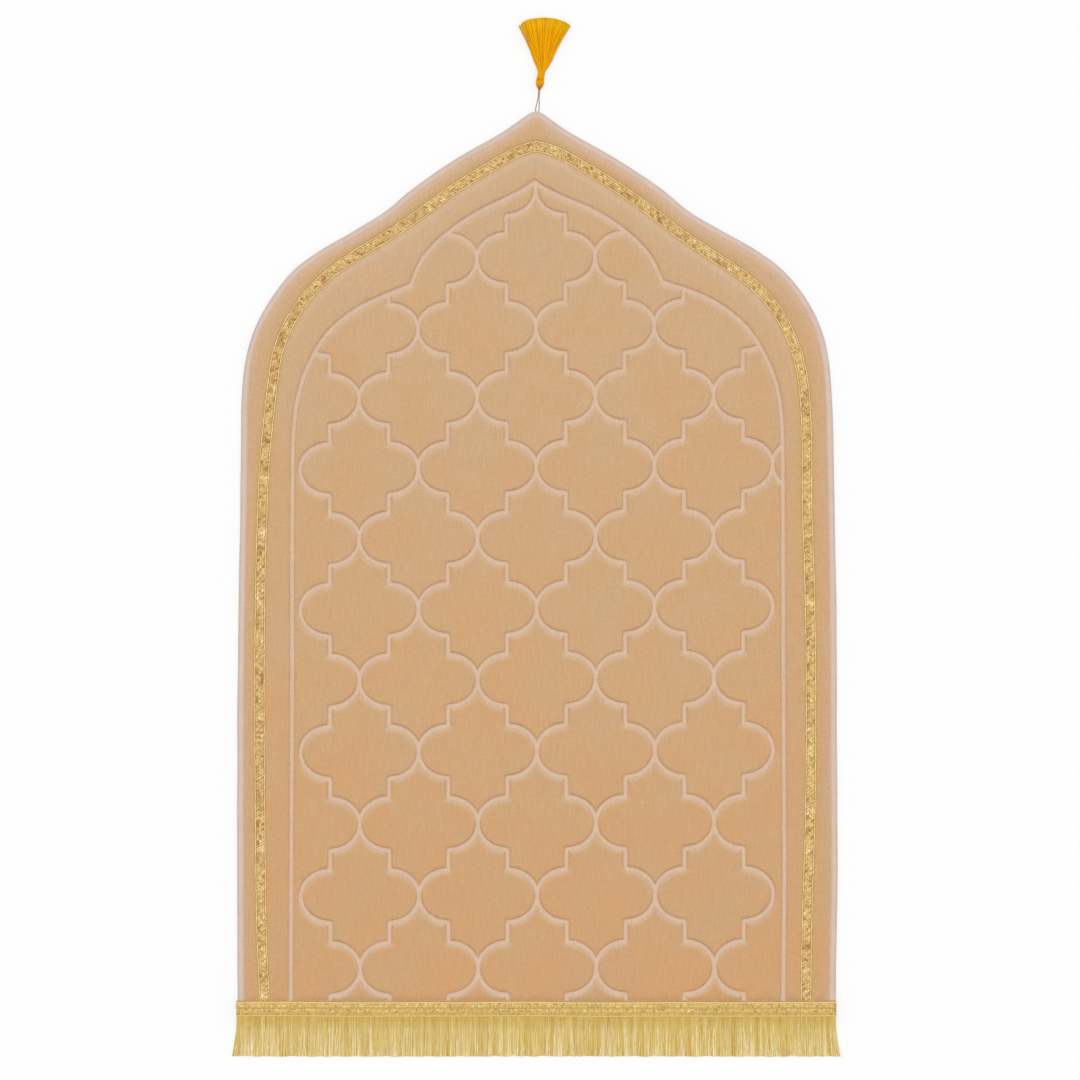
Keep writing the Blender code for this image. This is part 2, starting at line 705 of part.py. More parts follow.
def make_tassel():
    bm = bmesh.new()
    turn = [2 * math.pi * i / TASSEL_SIDES for i in range(TASSEL_SIDES)]
    rings = []
    for along, bend, half, low, high in TASSEL_SECTIONS:
        middle, tall = (low + high) / 2, (high - low) / 2
        rings.append(
            [(bend + half * math.cos(a), along, middle + tall * math.sin(a)) for a in turn]
        )
    loops = loft(bm, rings, caps=False)
    bm.faces.new(loops[0][::-1])

    columns, rows = skirt_grid()
    grid = [[bm.verts.new((x, SKIRT_ROOT, z)) for x in columns] for z in rows]
    roots = []
    for j in range(len(rows) - 1):
        for i in range(len(columns) - 1):
            cell = (grid[j][i], grid[j][i + 1], grid[j + 1][i + 1], grid[j + 1][i])
            if i % 2 == 0 and j % 2 == 0:
                roots.append((i // 2, j // 2, cell))
            else:
                bm.faces.new(cell)
    tip_pitch = 2 * SKIRT_TIP_HALF / (SKIRT_LOCKS - 0.5)
    half = tip_pitch * SKIRT_TIP_SHARE / 2
    for column, layer, root in roots:
        set_over = 0.5 if layer % 2 else 0.0
        x = -SKIRT_TIP_HALF + (column + set_over) * tip_pitch
        y = SKIRT_LENGTH - SKIRT_TIP_DROP * (x / SKIRT_TIP_HALF) ** 2
        low = layer * SKIRT_TIP_LAYER
        tip = [
            bm.verts.new((x + dx, y, low + dz))
            for dx, dz in (
                (-half, 0),
                (half, 0),
                (half, SKIRT_TIP_THICKNESS),
                (-half, SKIRT_TIP_THICKNESS),
            )
        ]
        for a in range(4):
            b = (a + 1) % 4
            bm.faces.new((root[a], root[b], tip[b], tip[a]))
        bm.faces.new(tip)

    border = [*grid[0], *[r[-1] for r in grid[1:-1]], *grid[-1][::-1]]
    border += [r[0] for r in grid[-2:0:-1]]
    both = [*edge_loop(bm, border), *edge_loop(bm, loops[-1])]
    bmesh.ops.bridge_loops(bm, edges=both)
    tassel = finished("tassel", bm)

    pocket = make_pocket()
    cut = tassel.modifiers.new("thread_pocket", "BOOLEAN")
    cut.operation = "DIFFERENCE"
    cut.object = pocket
    tassel.location = (TASSEL_X, TASSEL_Y, 0)
    tassel.rotation_euler = (0, 0, -TASSEL_LEAN)
    return tassel


def turn_line():
    """The thread's turn inside the head, in the head's plane: x and distance along."""
    start = THREAD_PAIR / 2
    neck = [(start, 0.0), (start + 0.0001, 0.0012), (start + 0.00035, 0.0024)]
    swing = np.linspace(math.radians(-38), math.radians(218), THREAD_TURN_POINTS)
    arc = [
        (THREAD_TURN * math.cos(a), THREAD_TURN_Y + THREAD_TURN * math.sin(a))
        for a in swing
    ]
    return [*neck, *arc, *[(-x, y) for x, y in neck[::-1]]]


def make_pocket():
    """The hollow in the head that the thread turns in."""
    outer = offset(np.array(turn_line()), THREAD / 2 + GAP + POCKET_SLACK)
    outer[[0, -1], 1] = -POCKET_MOUTH
    bm = bmesh.new()
    loft(
        bm,
        [
            [(x, y, THREAD_HEAD_Z - POCKET_HALF_HEIGHT) for x, y in outer],
            [(x, y, THREAD_HEAD_Z + POCKET_HALF_HEIGHT) for x, y in outer],
        ],
    )
    bmesh.ops.recalc_face_normals(bm, faces=bm.faces)
    mesh = bpy.data.meshes.new("pocket_cutter")
    bm.to_mesh(mesh)
    bm.free()
    cutter = bpy.data.objects.new("pocket_cutter", mesh)
    bpy.context.scene.collection.objects.link(cutter)
    cutter.parent = bpy.data.objects["rug"]
    cutter.location = (TASSEL_X, TASSEL_Y, 0)
    cutter.rotation_euler = (0, 0, -TASSEL_LEAN)
    cutter.hide_render = True
    cutter.display_type = "WIRE"
    return cutter


def thread_root(x):
    """Where the thread leaves the binding's edge near the point of the arch."""
    half = EDGE[EDGE[:, 0] >= 0]
    return (x, np.interp(abs(x) - THREAD / 2, half[:, 0], half[:, 1]) + GAP, THREAD_ROOT_Z)


def make_loop():
    """The thread: up from the mat's edge, round inside the tassel's head and back."""
    cos, sin = math.cos(TASSEL_LEAN), math.sin(TASSEL_LEAN)
    turn = [
        (TASSEL_X + x * cos + y * sin, TASSEL_Y - x * sin + y * cos, THREAD_HEAD_Z)
        for x, y in turn_line()
    ]
    left = [(left, y, z) for left, _, y, z in THREAD_LEG_ROWS]
    right = [(right, y, z) for _, right, y, z in THREAD_LEG_ROWS]
    left.insert(0, thread_root(THREAD_ROOTS_X[0]))
    right.insert(0, thread_root(THREAD_ROOTS_X[1]))
    route = smooth([*right, *turn, *left[::-1]], steps=1)
    curve = bpy.data.curves.new("tassel_loop", "CURVE")
    curve.dimensions = "3D"
    curve.bevel_depth = THREAD / 2
    curve.bevel_resolution = 2
    curve.use_fill_caps = True
    spline = curve.splines.new("POLY")
    spline.points.add(len(route) - 1)
    for point, place in zip(spline.points, route):
        point.co = (*place, 1)
    return placed("tassel_loop", curve)


def main():
    for thing in list(bpy.data.objects):
        bpy.data.objects.remove(thing)
    rug = bpy.data.objects.new("rug", None)
    bpy.context.scene.collection.objects.link(rug)
    rug.location.y = -(ARCH_APEX_Y - FRINGE_LENGTH) / 2
    make_mat()
    make_binding()
    make_braid()
    make_fringe()
    make_tassel()
    make_loop()


main()
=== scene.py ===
"""Looks of the padded prayer rug: pressed velvet, folded binding, gold braid, lurex fringe
and a silky tassel on its thread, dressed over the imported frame.

Units are metres. Every piece is worked out with x from the rug's centre line and y from the
lower edge of the fringe's heading, and mesh_piece() moves it into the frame.
"""

import math

import bpy
import numpy as np
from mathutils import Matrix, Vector
from mathutils.geometry import delaunay_2d_cdt


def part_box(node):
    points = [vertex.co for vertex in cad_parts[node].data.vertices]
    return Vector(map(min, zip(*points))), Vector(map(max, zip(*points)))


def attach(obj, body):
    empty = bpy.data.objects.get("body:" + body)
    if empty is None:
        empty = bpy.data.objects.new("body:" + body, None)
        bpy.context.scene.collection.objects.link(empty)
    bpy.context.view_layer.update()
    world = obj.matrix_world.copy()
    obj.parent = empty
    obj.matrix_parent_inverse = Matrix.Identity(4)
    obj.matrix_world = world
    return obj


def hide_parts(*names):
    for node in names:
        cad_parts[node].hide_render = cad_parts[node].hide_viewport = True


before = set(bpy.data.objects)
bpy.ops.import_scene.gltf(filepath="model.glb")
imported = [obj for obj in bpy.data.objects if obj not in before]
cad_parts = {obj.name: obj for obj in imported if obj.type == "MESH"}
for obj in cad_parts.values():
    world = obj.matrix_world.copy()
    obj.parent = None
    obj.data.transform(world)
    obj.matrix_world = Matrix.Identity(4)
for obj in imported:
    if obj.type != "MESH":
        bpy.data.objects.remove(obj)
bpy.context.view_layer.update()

# ---- sizes shared with the solids
EDGE_ROWS = [  # y, x of the bound edge's left side, x of its right side
    (1.0558, 0.0, 0.0),
    (1.0534, -0.0072, 0.0064),
    (1.0331, -0.0368, 0.0358),
    (0.9982, -0.0976, 0.0972),
    (0.9632, -0.1473, 0.1481),
    (0.9399, -0.1742, 0.1767),
    (0.9166, -0.2124, 0.2161),
    (0.8933, -0.2524, 0.2577),
    (0.8701, -0.2832, 0.2881),
    (0.8351, -0.3108, 0.3161),
    (0.8002, -0.3297, 0.3327),
    (0.7652, -0.3397, 0.3411),
    (0.7186, -0.3439, 0.3452),
    (0.6550, -0.3444, 0.3467),
    (0.5905, -0.3456, 0.3484),
    (0.3809, -0.3486, 0.3508),
    (0.3000, -0.3489, 0.3506),
    (0.2411, -0.3490, 0.3513),
    (0.1700, -0.3490, 0.3518),
    (0.1000, -0.3489, 0.3505),
    (0.0006, -0.3487, 0.3491),
]
BRAID_ROWS = [  # y, x of the left side, x of the right side of the braid's centre line
    (1.0146, 0.0, 0.0),
    (1.0085, -0.0205, 0.0215),
    (0.9880, -0.0575, 0.0595),
    (0.9640, -0.0965, 0.0980),
    (0.9390, -0.1305, 0.1330),
    (0.9135, -0.1675, 0.1660),
    (0.8900, -0.2065, 0.2005),
    (0.8660, -0.2405, 0.2370),
    (0.8400, -0.2665, 0.2665),
    (0.8100, -0.2868, 0.2880),
    (0.7760, -0.3007, 0.3030),
    (0.7400, -0.3070, 0.3110),
    (0.7000, -0.3115, 0.3142),
    (0.6500, -0.3165, 0.3155),
    (0.5900, -0.3192, 0.3155),
    (0.5360, -0.3210, 0.3175),
    (0.4460, -0.3223, 0.3195),
    (0.3300, -0.3225, 0.3200),
    (0.2300, -0.3218, 0.3190),
    (0.1440, -0.3210, 0.3163),
    (0.0870, -0.3198, 0.3150),
    (0.0188, -0.3165, 0.3143),
]
UPPER_FOIL_ROWS = [  # y, left x, right x of the panel line's arch, down to its cusps
    (0.9731, -0.0018, -0.0018),
    (0.9681, -0.0083, 0.0044),
    (0.9570, -0.0284, 0.0249),
    (0.9385, -0.0671, 0.0655),
    (0.9235, -0.0912, 0.0905),
    (0.9060, -0.1135, 0.1123),
    (0.8845, -0.1325, 0.1317),
    (0.8542, -0.1463, 0.1469),
]
LOWER_FOIL_ROWS = [  # y, left x, right x from the cusps down the straight sides
    (0.8542, -0.1463, 0.1469),
    (0.8416, -0.1790, 0.1830),
    (0.8294, -0.2052, 0.2083),
    (0.8135, -0.2283, 0.2309),
    (0.7934, -0.2476, 0.2500),
    (0.7695, -0.2621, 0.2647),
    (0.7435, -0.2727, 0.2763),
    (0.7165, -0.2794, 0.2830),
    (0.6850, -0.2828, 0.2860),
    (0.6000, -0.2842, 0.2873),
    (0.3500, -0.2846, 0.2881),
    (0.2300, -0.2852, 0.2888),
    (0.1600, -0.2855, 0.2891),
    (0.0900, -0.2858, 0.2883),
    (0.0030, -0.2860, 0.2877),
]

# Trellis of quatrefoils: rows of tiles, every second row set over by half a tile.
TILE_HALF = 0.0688  # half a tile's width, so neighbours' side lobes meet
LOBE_HALF = 0.0294  # half the height of a side lobe in the topmost whole row
LOBE_GROWTH = 0.000125  # a row
SIDE_ARC_ROW = 3  # where the lobes' arcs run on to the panel line, on the right
SIDE_ARC_TURN = math.radians(60)
SIDE_ARC_POINTS = 14
SIDE_HALVES = 4  # half tiles from the middle column to the panel line
TOP_ROW_Y = 0.8834
ROW_PITCH = 0.08036
ROW_PITCH_GROWTH = 0.00023  # the rows grow a little taller towards the bottom
LAST_ROW = 11  # counted from the topmost whole row, and hidden under the heading
TRELLIS_SHIFT = 0.0011  # how far to the right its middle column lies at the heading
TRELLIS_SLANT = -0.0018  # and how that changes for each metre up the rug

# The press sat a little askew: the pattern climbs to the right, and more so near the arch.
LEAN = 0.0042
LEAN_GROWTH = 0.0113  # for each metre up the rug

ARCH_APEX_Y = EDGE_ROWS[0][0]
ORIGIN_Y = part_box("edge_binding")[1].y - ARCH_APEX_Y
GAP = 0.0003  # between pieces that touch
HEADING_HEIGHT = 0.0182
HEADING_HALF_WIDTH = 0.3497
FRINGE_LENGTH = 0.0447
TINY = 1e-9  # keeps divisors off zero

# ---- the photograph's view and light
PHOTO_SIDE = 1080  # pixels
PIXEL = 0.00116473  # metres of the rug in one of its pixels
CENTRE_COLUMN = 536.3  # pixel column of the rug's centre line
HEADING_ROW = 1017.0  # pixel row of the heading's lower edge
LENS = 150.0  # millimetres, on a sensor 36 wide
SENSOR = 36.0
SURFACE_Z = 0.0115  # height of the face that the scale was read on
SKY_LIGHT = 0.70
SUN_LIGHT = 1.30
SUN_WIDTH = math.radians(35)
SUN_TILT = math.radians(-15)
FLOOR_REACH = 6.0
FLOOR_GREY = 0.536
FLOOR_GLOW = 0.4


# ---- plane curves
def between(a, b, at_a, at_b, at):
    """The place between a and b that is reached at a moment."""
    return a + (b - a) * (at - at_a) / (at_b - at_a)


def smooth(rows, steps=16):
    """A centripetal Catmull-Rom curve through the rows, sampled finely."""
    points = np.array(rows, float)
    padded = np.vstack([2 * points[0] - points[1], points, 2 * points[-1] - points[-2]])
    made = [points[0]]
    for i in range(1, len(padded) - 2):
        p = padded[i - 1 : i + 3]
        t = np.r_[0, np.cumsum(np.linalg.norm(np.diff(p, axis=0), axis=1) ** 0.5)]
        for s in np.linspace(t[1], t[2], steps + 1)[1:]:
            a = [between(p[j], p[j + 1], t[j], t[j + 1], s) for j in range(3)]
            b = [between(a[j], a[j + 1], t[j], t[j + 2], s) for j in range(2)]
            made.append(between(b[0], b[1], t[1], t[2], s))
    return np.array(made)


def travel(line):
    """How far along the line each of its points is."""
    return np.r_[0, np.cumsum(np.linalg.norm(np.diff(line, axis=0), axis=1))]


def spaced(line, step):
    """The line with points about one step apart, and its own ends."""
    along = travel(line)
    marks = np.linspace(0, along[-1], max(2, round(along[-1] / step) + 1))
    return np.column_stack([np.interp(marks, along, line[:, k]) for k in range(line.shape[1])])


def both_sides(step, *parts):
    """A line up its left side and down its right, from tables that start at its top."""
    sides = []
    for column in (1, 2):
        curves = [smooth([(row[column], row[0]) for row in rows]) for rows in parts]
        curves = [spaced(curve, step) for curve in curves]
        sides.append(np.vstack([curves[0], *[curve[1:] for curve in curves[1:]]]))
    return np.vstack([sides[0][::-1], sides[1][1:]])


def leaning(points):
    """The points of the pressed pattern, as askew as the press sat."""
    x, y = points.T
    return np.column_stack([x, y + x * (LEAN + LEAN_GROWTH * y)])


def unit(vectors):
    """The vectors at length one."""
    return vectors / np.maximum(np.linalg.norm(vectors, axis=-1, keepdims=True), TINY)


MITRE_LEAST = 0.25  # keeps a sharp corner from moving more than about four times as far


def offset(line, distance, closed=False):
    """The line moved to its right by distance, with mitred corners."""
    if closed:
        before, after = np.roll(line, 1, axis=0), np.roll(line, -1, axis=0)
    else:
        before = np.vstack([2 * line[0] - line[1], line[:-1]])
        after = np.vstack([line[1:], 2 * line[-1] - line[-2]])
    ways = [unit(line - before), unit(after - line)]
    normals = [np.column_stack([way[:, 1], -way[:, 0]]) for way in ways]
    mitre = normals[0] + normals[1]
    mitre /= np.maximum(np.einsum("ij,ij->i", mitre, normals[0]), MITRE_LEAST)[:, None]
    return line + mitre * distance


def segments(line, closed=False):
    """The line's segments as rows of x0, y0, x1, y1."""
    ends = np.roll(line, -1, axis=0) if closed else line[1:]
    starts = line if closed else line[:-1]
    return np.hstack([starts, ends])


REACH = 0.025  # distances past this aren't needed
CELL = 0.020  # the points are taken together cell by cell
BATCH = 4000  # points tested together
HALVINGS = 14  # steps towards the exact end of a trimmed stretch


def nearest(points, pieces):
    """The distance from each point to the nearest segment, and the way there, up to REACH."""
    a, b = pieces[:, :2], pieces[:, 2:]
    run = b - a
    length = np.maximum(np.einsum("ij,ij->i", run, run), TINY**2)
    low, high = np.minimum(a, b) - REACH, np.maximum(a, b) + REACH
    far = np.full(len(points), REACH)
    way = np.zeros((len(points), 2))
    cells = np.floor(points / CELL).astype(int)
    names, member = np.unique(cells, axis=0, return_inverse=True)
    order = np.argsort(member.ravel(), kind="stable")
    counts = np.bincount(member.ravel(), minlength=len(names))
    for name, here in zip(names, np.split(order, np.cumsum(counts)[:-1])):
        corner = name * CELL
        close = ((high > corner) & (low < corner + CELL)).all(1)
        if not close.any():
            continue
        off = points[here, None] - a[close][None]
        share = np.clip(np.einsum("nij,ij->ni", off, run[close]) / length[close], 0, 1)
        gap = off - share[..., None] * run[close][None]
        size = np.sqrt(np.einsum("nij,nij->ni", gap, gap))
        best = size.argmin(1)
        rows = np.arange(len(here))
        found = size[rows, best]
        kept = found < REACH
        far[here[kept]] = found[kept]
        way[here[kept]] = gap[rows, best][kept] / np.maximum(found[kept], TINY)[:, None]
    return far, way


def inside(points, outline):
    """Whether each point lies inside the closed outline."""
    found = np.zeros(len(points), bool)
    x0, y0, x1, y1 = segments(outline, closed=True).T
    rise = np.where(y1 == y0, 1, y1 - y0)
    for k in range(0, len(points), BATCH):
        x, y = points[k : k + BATCH, 0, None], points[k : k + BATCH, 1, None]
        level = (y0 > y) != (y1 > y)
        crossing = level & (x < (x1 - x0) * (y - y0) / rise + x0)
        found[k : k + BATCH] = crossing.sum(1) % 2 == 1
    return found


def outline_of(triangles):
    """The corners round the outside of a flat mesh, in order, anticlockwise."""
    edges = np.vstack([triangles[:, [0, 1]], triangles[:, [1, 2]], triangles[:, [2, 0]]])
    size = int(triangles.max()) + 1
    lone = ~np.isin(edges @ (size, 1), edges @ (1, size))
    after = dict(edges[lone].tolist())
    loop = [min(after)]
    while after[loop[-1]] != loop[0]:
        loop.append(after[loop[-1]])
    return np.array(loop)


def trimmed(line, keep):
    """The stretches of the line whose points pass the test keep."""
    passes = keep(line)
    turns = np.flatnonzero(passes[1:] != passes[:-1])
    good = np.where(passes[turns, None], line[turns], line[turns + 1])
    bad = np.where(passes[turns, None], line[turns + 1], line[turns])
    for _ in range(HALVINGS if len(turns) else 0):
        middle = (good + bad) / 2
        ok = keep(middle)[:, None]
        good, bad = np.where(ok, middle, good), np.where(ok, bad, middle)
    stretches, current, turn = [], [], 0
    for i, point in enumerate(line):
        if i and passes[i] != passes[i - 1]:
            current.append(good[turn])
            turn += 1
            if passes[i - 1]:
                stretches.append(current)
                current = []
        if passes[i]:
            current.append(point)
    stretches.append(current)
    return [np.array(s) for s in stretches if len(s) > 1]


def waves(points, size, seed, count=7):
    """A smooth uneven pattern, about -1 to 1, whose swells are about size across."""
    random = np.random.default_rng(seed)
    total = np.zeros(len(points))
    for _ in range(count):
        turn, start = random.uniform(0, 2 * math.pi, 2)
        pull = 2 * math.pi / (size * random.uniform(0.7, 1.6))
        way = points[:, 0] * math.cos(turn) + points[:, 1] * math.sin(turn)
        total += np.sin(pull * way + start)
    return total / math.sqrt(count)


def waves_along(places, size, seed, across=0.0):
    """The same pattern read along a line."""
    return waves(np.column_stack([places, places * 0 + across]), size, seed)


def about(random, middle, spread, count):
    """Numbers scattered about a middle one."""
    return middle + spread * random.normal(size=count)


def table(rows, column, at):
    """Reads a column of a table of rows at places given in its first column."""
    return np.interp(at, [r[0] for r in rows], [r[column] for r in rows])


# ---- mesh helpers
def put_in_scene(name, data):
    thing = bpy.data.objects.new(name, data)
    bpy.context.scene.collection.objects.link(thing)
    return thing


def mesh_piece(name, points, faces, materials, values=None, smooth_faces=True):
    """An object from points, arrays of faces of equal size, and named values per point."""
    mesh = bpy.data.meshes.new(name)
    placed = np.asarray(points, float) + [0, ORIGIN_Y, 0]
    mesh.vertices.add(len(placed))
    mesh.vertices.foreach_set("co", placed.astype(np.float32).ravel())
    corners = np.concatenate([f.ravel() for f in faces]).astype(np.int32)
    sizes = np.concatenate([np.full(len(f), f.shape[1]) for f in faces])
    mesh.loops.add(len(corners))
    mesh.loops.foreach_set("vertex_index", corners)
    mesh.polygons.add(len(sizes))
    mesh.polygons.foreach_set("loop_start", np.r_[0, np.cumsum(sizes)[:-1]].astype(np.int32))
    for key, value in (values or {}).items():
        attribute = mesh.attributes.new(key, "FLOAT", "POINT")
        attribute.data.foreach_set("value", np.asarray(value, np.float32))
    mesh.update(calc_edges=True)
    if smooth_faces:
        mesh.shade_smooth()
    else:
        mesh.shade_flat()
    for material in materials:
        mesh.materials.append(material)
    thing = put_in_scene(name, mesh)
    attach(thing, "root")
    return thing


def joined(*parts):
    """Several (points, faces, values) as one."""
    points, faces, values, first = [], [], {}, 0
    for part_points, part_faces, part_values in parts:
        points.append(part_points)
        faces += [f + first for f in part_faces]
        for key, value in part_values.items():
            values.setdefault(key, []).append(value)
        first += len(part_points)
    return np.vstack(points), faces, {k: np.concatenate(v) for k, v in values.items()}


def tubes(paths, wide, tall, sides, values, turn=0.0):
    """Closed tubes along paths (tube, station, xyz), with half widths and half heights.

    values holds numbers per tube, or per tube and station."""
    paths = np.asarray(paths, float)
    count, stations = paths.shape[:2]
    wide = np.broadcast_to(np.asarray(wide, float), (count, stations))
    tall = np.broadcast_to(np.asarray(tall, float), (count, stations))
    run = unit(np.gradient(paths, axis=1))
    side = unit(np.cross(run, [0.0, 0.0, 1.0]))
    over = np.cross(side, run)
    angle = 2 * math.pi * np.arange(sides) / sides + turn
    ring = (
        paths[:, :, None]
        + side[:, :, None] * (wide[..., None] * np.cos(angle))[..., None]
        + over[:, :, None] * (tall[..., None] * np.sin(angle))[..., None]
    )
    first = (np.arange(count) * stations * sides)[:, None, None]
    station = (np.arange(stations - 1) * sides)[None, :, None]
    k = np.arange(sides)[None, None, :]
    j = (k + 1) % sides
    base = first + station
    walls = np.stack([base + j, base + k, base + sides + k, base + sides + j], axis=-1)
    start = first[:, 0] + np.arange(sides)[None]
    end = first[:, 0] + (stations - 1) * sides + np.arange(sides)[None, ::-1]
    spread = {}
    for key, value in values.items():
        value = np.asarray(value, float)
        value = value[:, None] if value.ndim == 1 else value
        per_station = np.broadcast_to(value, (count, stations))
        spread[key] = np.repeat(per_station.ravel(), sides)
    return ring.reshape(-1, 3), [walls.reshape(-1, 4), start, end], spread


def lofted(stations):
    """A closed skin over stations (station, corner, xyz) of one section."""
    stations = np.asarray(stations, float)
    count, sides = stations.shape[:2]
    base = (np.arange(count - 1) * sides)[:, None]
    k = np.arange(sides)[None]
    j = (k + 1) % sides
    walls = np.stack([base + k, base + j, base + sides + j, base + sides + k], axis=-1)
    faces = [walls.reshape(-1, 4), k[:, ::-1], (count - 1) * sides + k]
    return stations.reshape(-1, 3), faces


# ---- materials
class Nodes:
    """Adds nodes to a new material and links them."""

    def __init__(self, name, **settings):
        self.material = bpy.data.materials.new(name)
        self.material.use_nodes = True
        self.tree = self.material.node_tree
        self.shader = self.tree.nodes["Principled BSDF"]
        for key, value in settings.items():
            self.shader.inputs[key.replace("_", " ")].default_value = value
        self.place = self.add("ShaderNodeTexCoord").outputs["Object"]

    def add(self, kind, *inputs, **settings):
        node = self.tree.nodes.new(kind)
        for key, value in settings.items():
            setattr(node, key, value)
        for socket, value in inputs:
            self.put(node.inputs[socket], value)
        return node

    def put(self, socket, value):
        if isinstance(value, bpy.types.NodeSocket):
            self.tree.links.new(value, socket)
        else:
            socket.default_value = value

    def value(self, name):
        """A number stored on the mesh."""
        return self.add("ShaderNodeAttribute", attribute_name=name).outputs["Fac"]

    def noise(self, scale, detail, stretch=(1, 1, 1), roughness=0.5):
        """Noise with about `scale` lumps in a metre, drawn out along the axes."""
        moved = self.add("ShaderNodeMapping", (0, self.place), ("Scale", stretch))
        return self.add(
            "ShaderNodeTexNoise",
            ("Vector", moved.outputs[0]),
            ("Scale", scale),
            ("Detail", detail),
            ("Roughness", roughness),
        ).outputs["Fac"]

    def speckle(self, low, high, scale, detail, stretch=(1, 1, 1)):
        """Noise spread out to go about from low to high."""
        return self.ramp(self.noise(scale, detail, stretch), 0.3, 0.7, low, high)

    def ramp(self, value, low, high, to_low=0.0, to_high=1.0):
        return self.add(
            "ShaderNodeMapRange",
            ("Value", value),
            ("From Min", low),
            ("From Max", high),
            ("To Min", to_low),
            ("To Max", to_high),
        ).outputs[0]

    def times(self, a, b):
        return self.add("ShaderNodeMath", (0, a), (1, b), operation="MULTIPLY").outputs[0]

    def mix(self, share, a, b):
        node = self.add("ShaderNodeMix", data_type="RGBA", clamp_factor=True)
        self.put(node.inputs[0], share)
        self.put(node.inputs[6], a)
        self.put(node.inputs[7], b)
        return node.outputs[2]

    def shade(self, colour, value):
        """The colour made lighter or darker by a value around 1."""
        return self.add(
            "ShaderNodeHueSaturation", ("Color", colour), ("Value", value)
        ).outputs[0]

    def colour(self, value):
        self.put(self.shader.inputs["Base Color"], value)

    def bump(self, height, distance, strength):
        node = self.add(
            "ShaderNodeBump", ("Height", height), ("Distance", distance), ("Strength", strength)
        )
        self.put(self.shader.inputs["Normal"], node.outputs[0])


def rgb(red, green, blue):
    """A screen colour, 0 to 255, as the linear light that shaders take."""
    parts = [c / 255 for c in (red, green, blue)]
    linear = [c / 12.92 if c <= 0.04045 else ((c + 0.055) / 1.055) ** 2.4 for c in parts]
    return (*linear, 1.0)


def cloth(name, sheen, sheen_roughness, tint):
    """Cloth with a short soft pile."""
    made = Nodes(
        name,
        Roughness=0.85,
        Sheen_Weight=sheen,
        Sheen_Roughness=sheen_roughness,
        Sheen_Tint=tint,
        Specular_IOR_Level=0.2,
    )
    made.bump(made.noise(1300, 3), 0.00025, 0.5)
    return made


def velvet():
    made = cloth("velvet", 0.25, 0.45, rgb(255, 236, 220))
    swells = made.ramp(made.noise(16, 4, roughness=0.6), 0.32, 0.68)
    low = made.mix(swells, rgb(202, 154, 107), rgb(197, 157, 115))
    high = made.mix(swells, rgb(202, 162, 121), rgb(197, 166, 130))
    pads = made.mix(made.value("height_up"), low, high)
    # painted highlight: paler pile on the slopes below the pressed lines, which face the light
    highlit = made.mix(made.value("painted_highlight"), pads, rgb(204, 178, 151))
    flat = made.mix(made.value("pressed"), highlit, rgb(211, 182, 156))
    golden = made.mix(made.value("golden"), flat, rgb(201, 163, 98))
    # painted shade: darker pile on the slopes above the pressed lines, which face away from the
    # light
    pressed = made.mix(made.value("painted_shade"), golden, rgb(164, 112, 78))
    blots = made.speckle(0.975, 1.025, 240, 2)
    grain = made.speckle(0.9, 1.1, 750, 3)
    streaks = made.speckle(0.96, 1.04, 1.0, 3, (560, 40, 1))
    made.colour(made.shade(pressed, made.times(blots, made.times(grain, streaks))))
    return made.material


def backing():
    made = Nodes("backing_cloth", Roughness=0.9)
    weave = made.times(made.noise(1.0, 1, (900, 120, 1)), made.noise(1.0, 1, (120, 900, 1)))
    made.colour(made.mix(made.ramp(weave, 0.15, 0.35), rgb(186, 152, 118), rgb(204, 172, 140)))
    made.bump(weave, 0.0003, 0.6)
    return made.material


def binding_cloth():
    made = cloth("binding_cloth", 0.35, 0.4, rgb(250, 240, 240))
    # painted sheen and shade: the outer part of the fold is greyer where it turns away
    colour = made.mix(made.value("outer"), rgb(212, 187, 170), rgb(199, 184, 178))
    uneven = made.times(made.speckle(0.97, 1.03, 60, 3), made.speckle(0.96, 1.04, 1000, 3))
    made.colour(made.shade(colour, uneven))
    return made.material


GOLD_YARNS = [  # name, dark, light and bright screen colours, roughness
    ("braid_ground", (168, 124, 68), (168, 124, 68), (168, 124, 68), 0.6),
    ("lurex_gold", (166, 121, 54), (223, 186, 118), (242, 219, 162), 0.38),
    ("fringe_tape", (176, 138, 72), (196, 160, 94), (206, 176, 116), 0.5),
    ("heading_gold", (168, 132, 62), (220, 187, 108), (240, 218, 150), 0.4),
    ("fringe_gold", (206, 165, 64), (225, 201, 125), (246, 230, 188), 0.4),
]


def gold(name, dark, light, bright, roughness):
    """Shiny yarn: each float or strand has its own tone."""
    made = Nodes(name, Roughness=roughness, Specular_IOR_Level=0.5)
    tone = made.value("tone")
    body = made.mix(made.ramp(tone, 0.0, 0.6), rgb(*dark), rgb(*light))
    colour = made.mix(made.ramp(tone, 0.75, 1.0), body, rgb(*bright))
    made.colour(made.shade(colour, made.speckle(0.9, 1.1, 1500, 2)))
    made.bump(made.noise(2500, 1), 0.00008, 0.5)
    return made.material


def silk():
    tint = rgb(255, 214, 90)
    made = Nodes("tassel_silk", Roughness=0.5, Specular_IOR_Level=0.12, Specular_Tint=tint)
    tone = made.value("tone")
    colour = made.mix(made.ramp(tone, 0.0, 0.5), rgb(222, 146, 2), rgb(250, 180, 2))
    colour = made.mix(made.ramp(tone, 0.5, 1.0), colour, rgb(255, 208, 36))
    # painted shade in the knot, its creases, the neck and the tassel's rim
    made.colour(made.mix(made.value("deep"), colour, rgb(186, 104, 34)))
    return made.material


def thread_yarn():
    made = Nodes("thread_yarn", Roughness=0.5, Metallic=0.2)
    twist = made.ramp(made.noise(2200, 1), 0.35, 0.65)
    made.colour(made.mix(twist, rgb(112, 84, 50), rgb(176, 142, 92)))
    return made.material


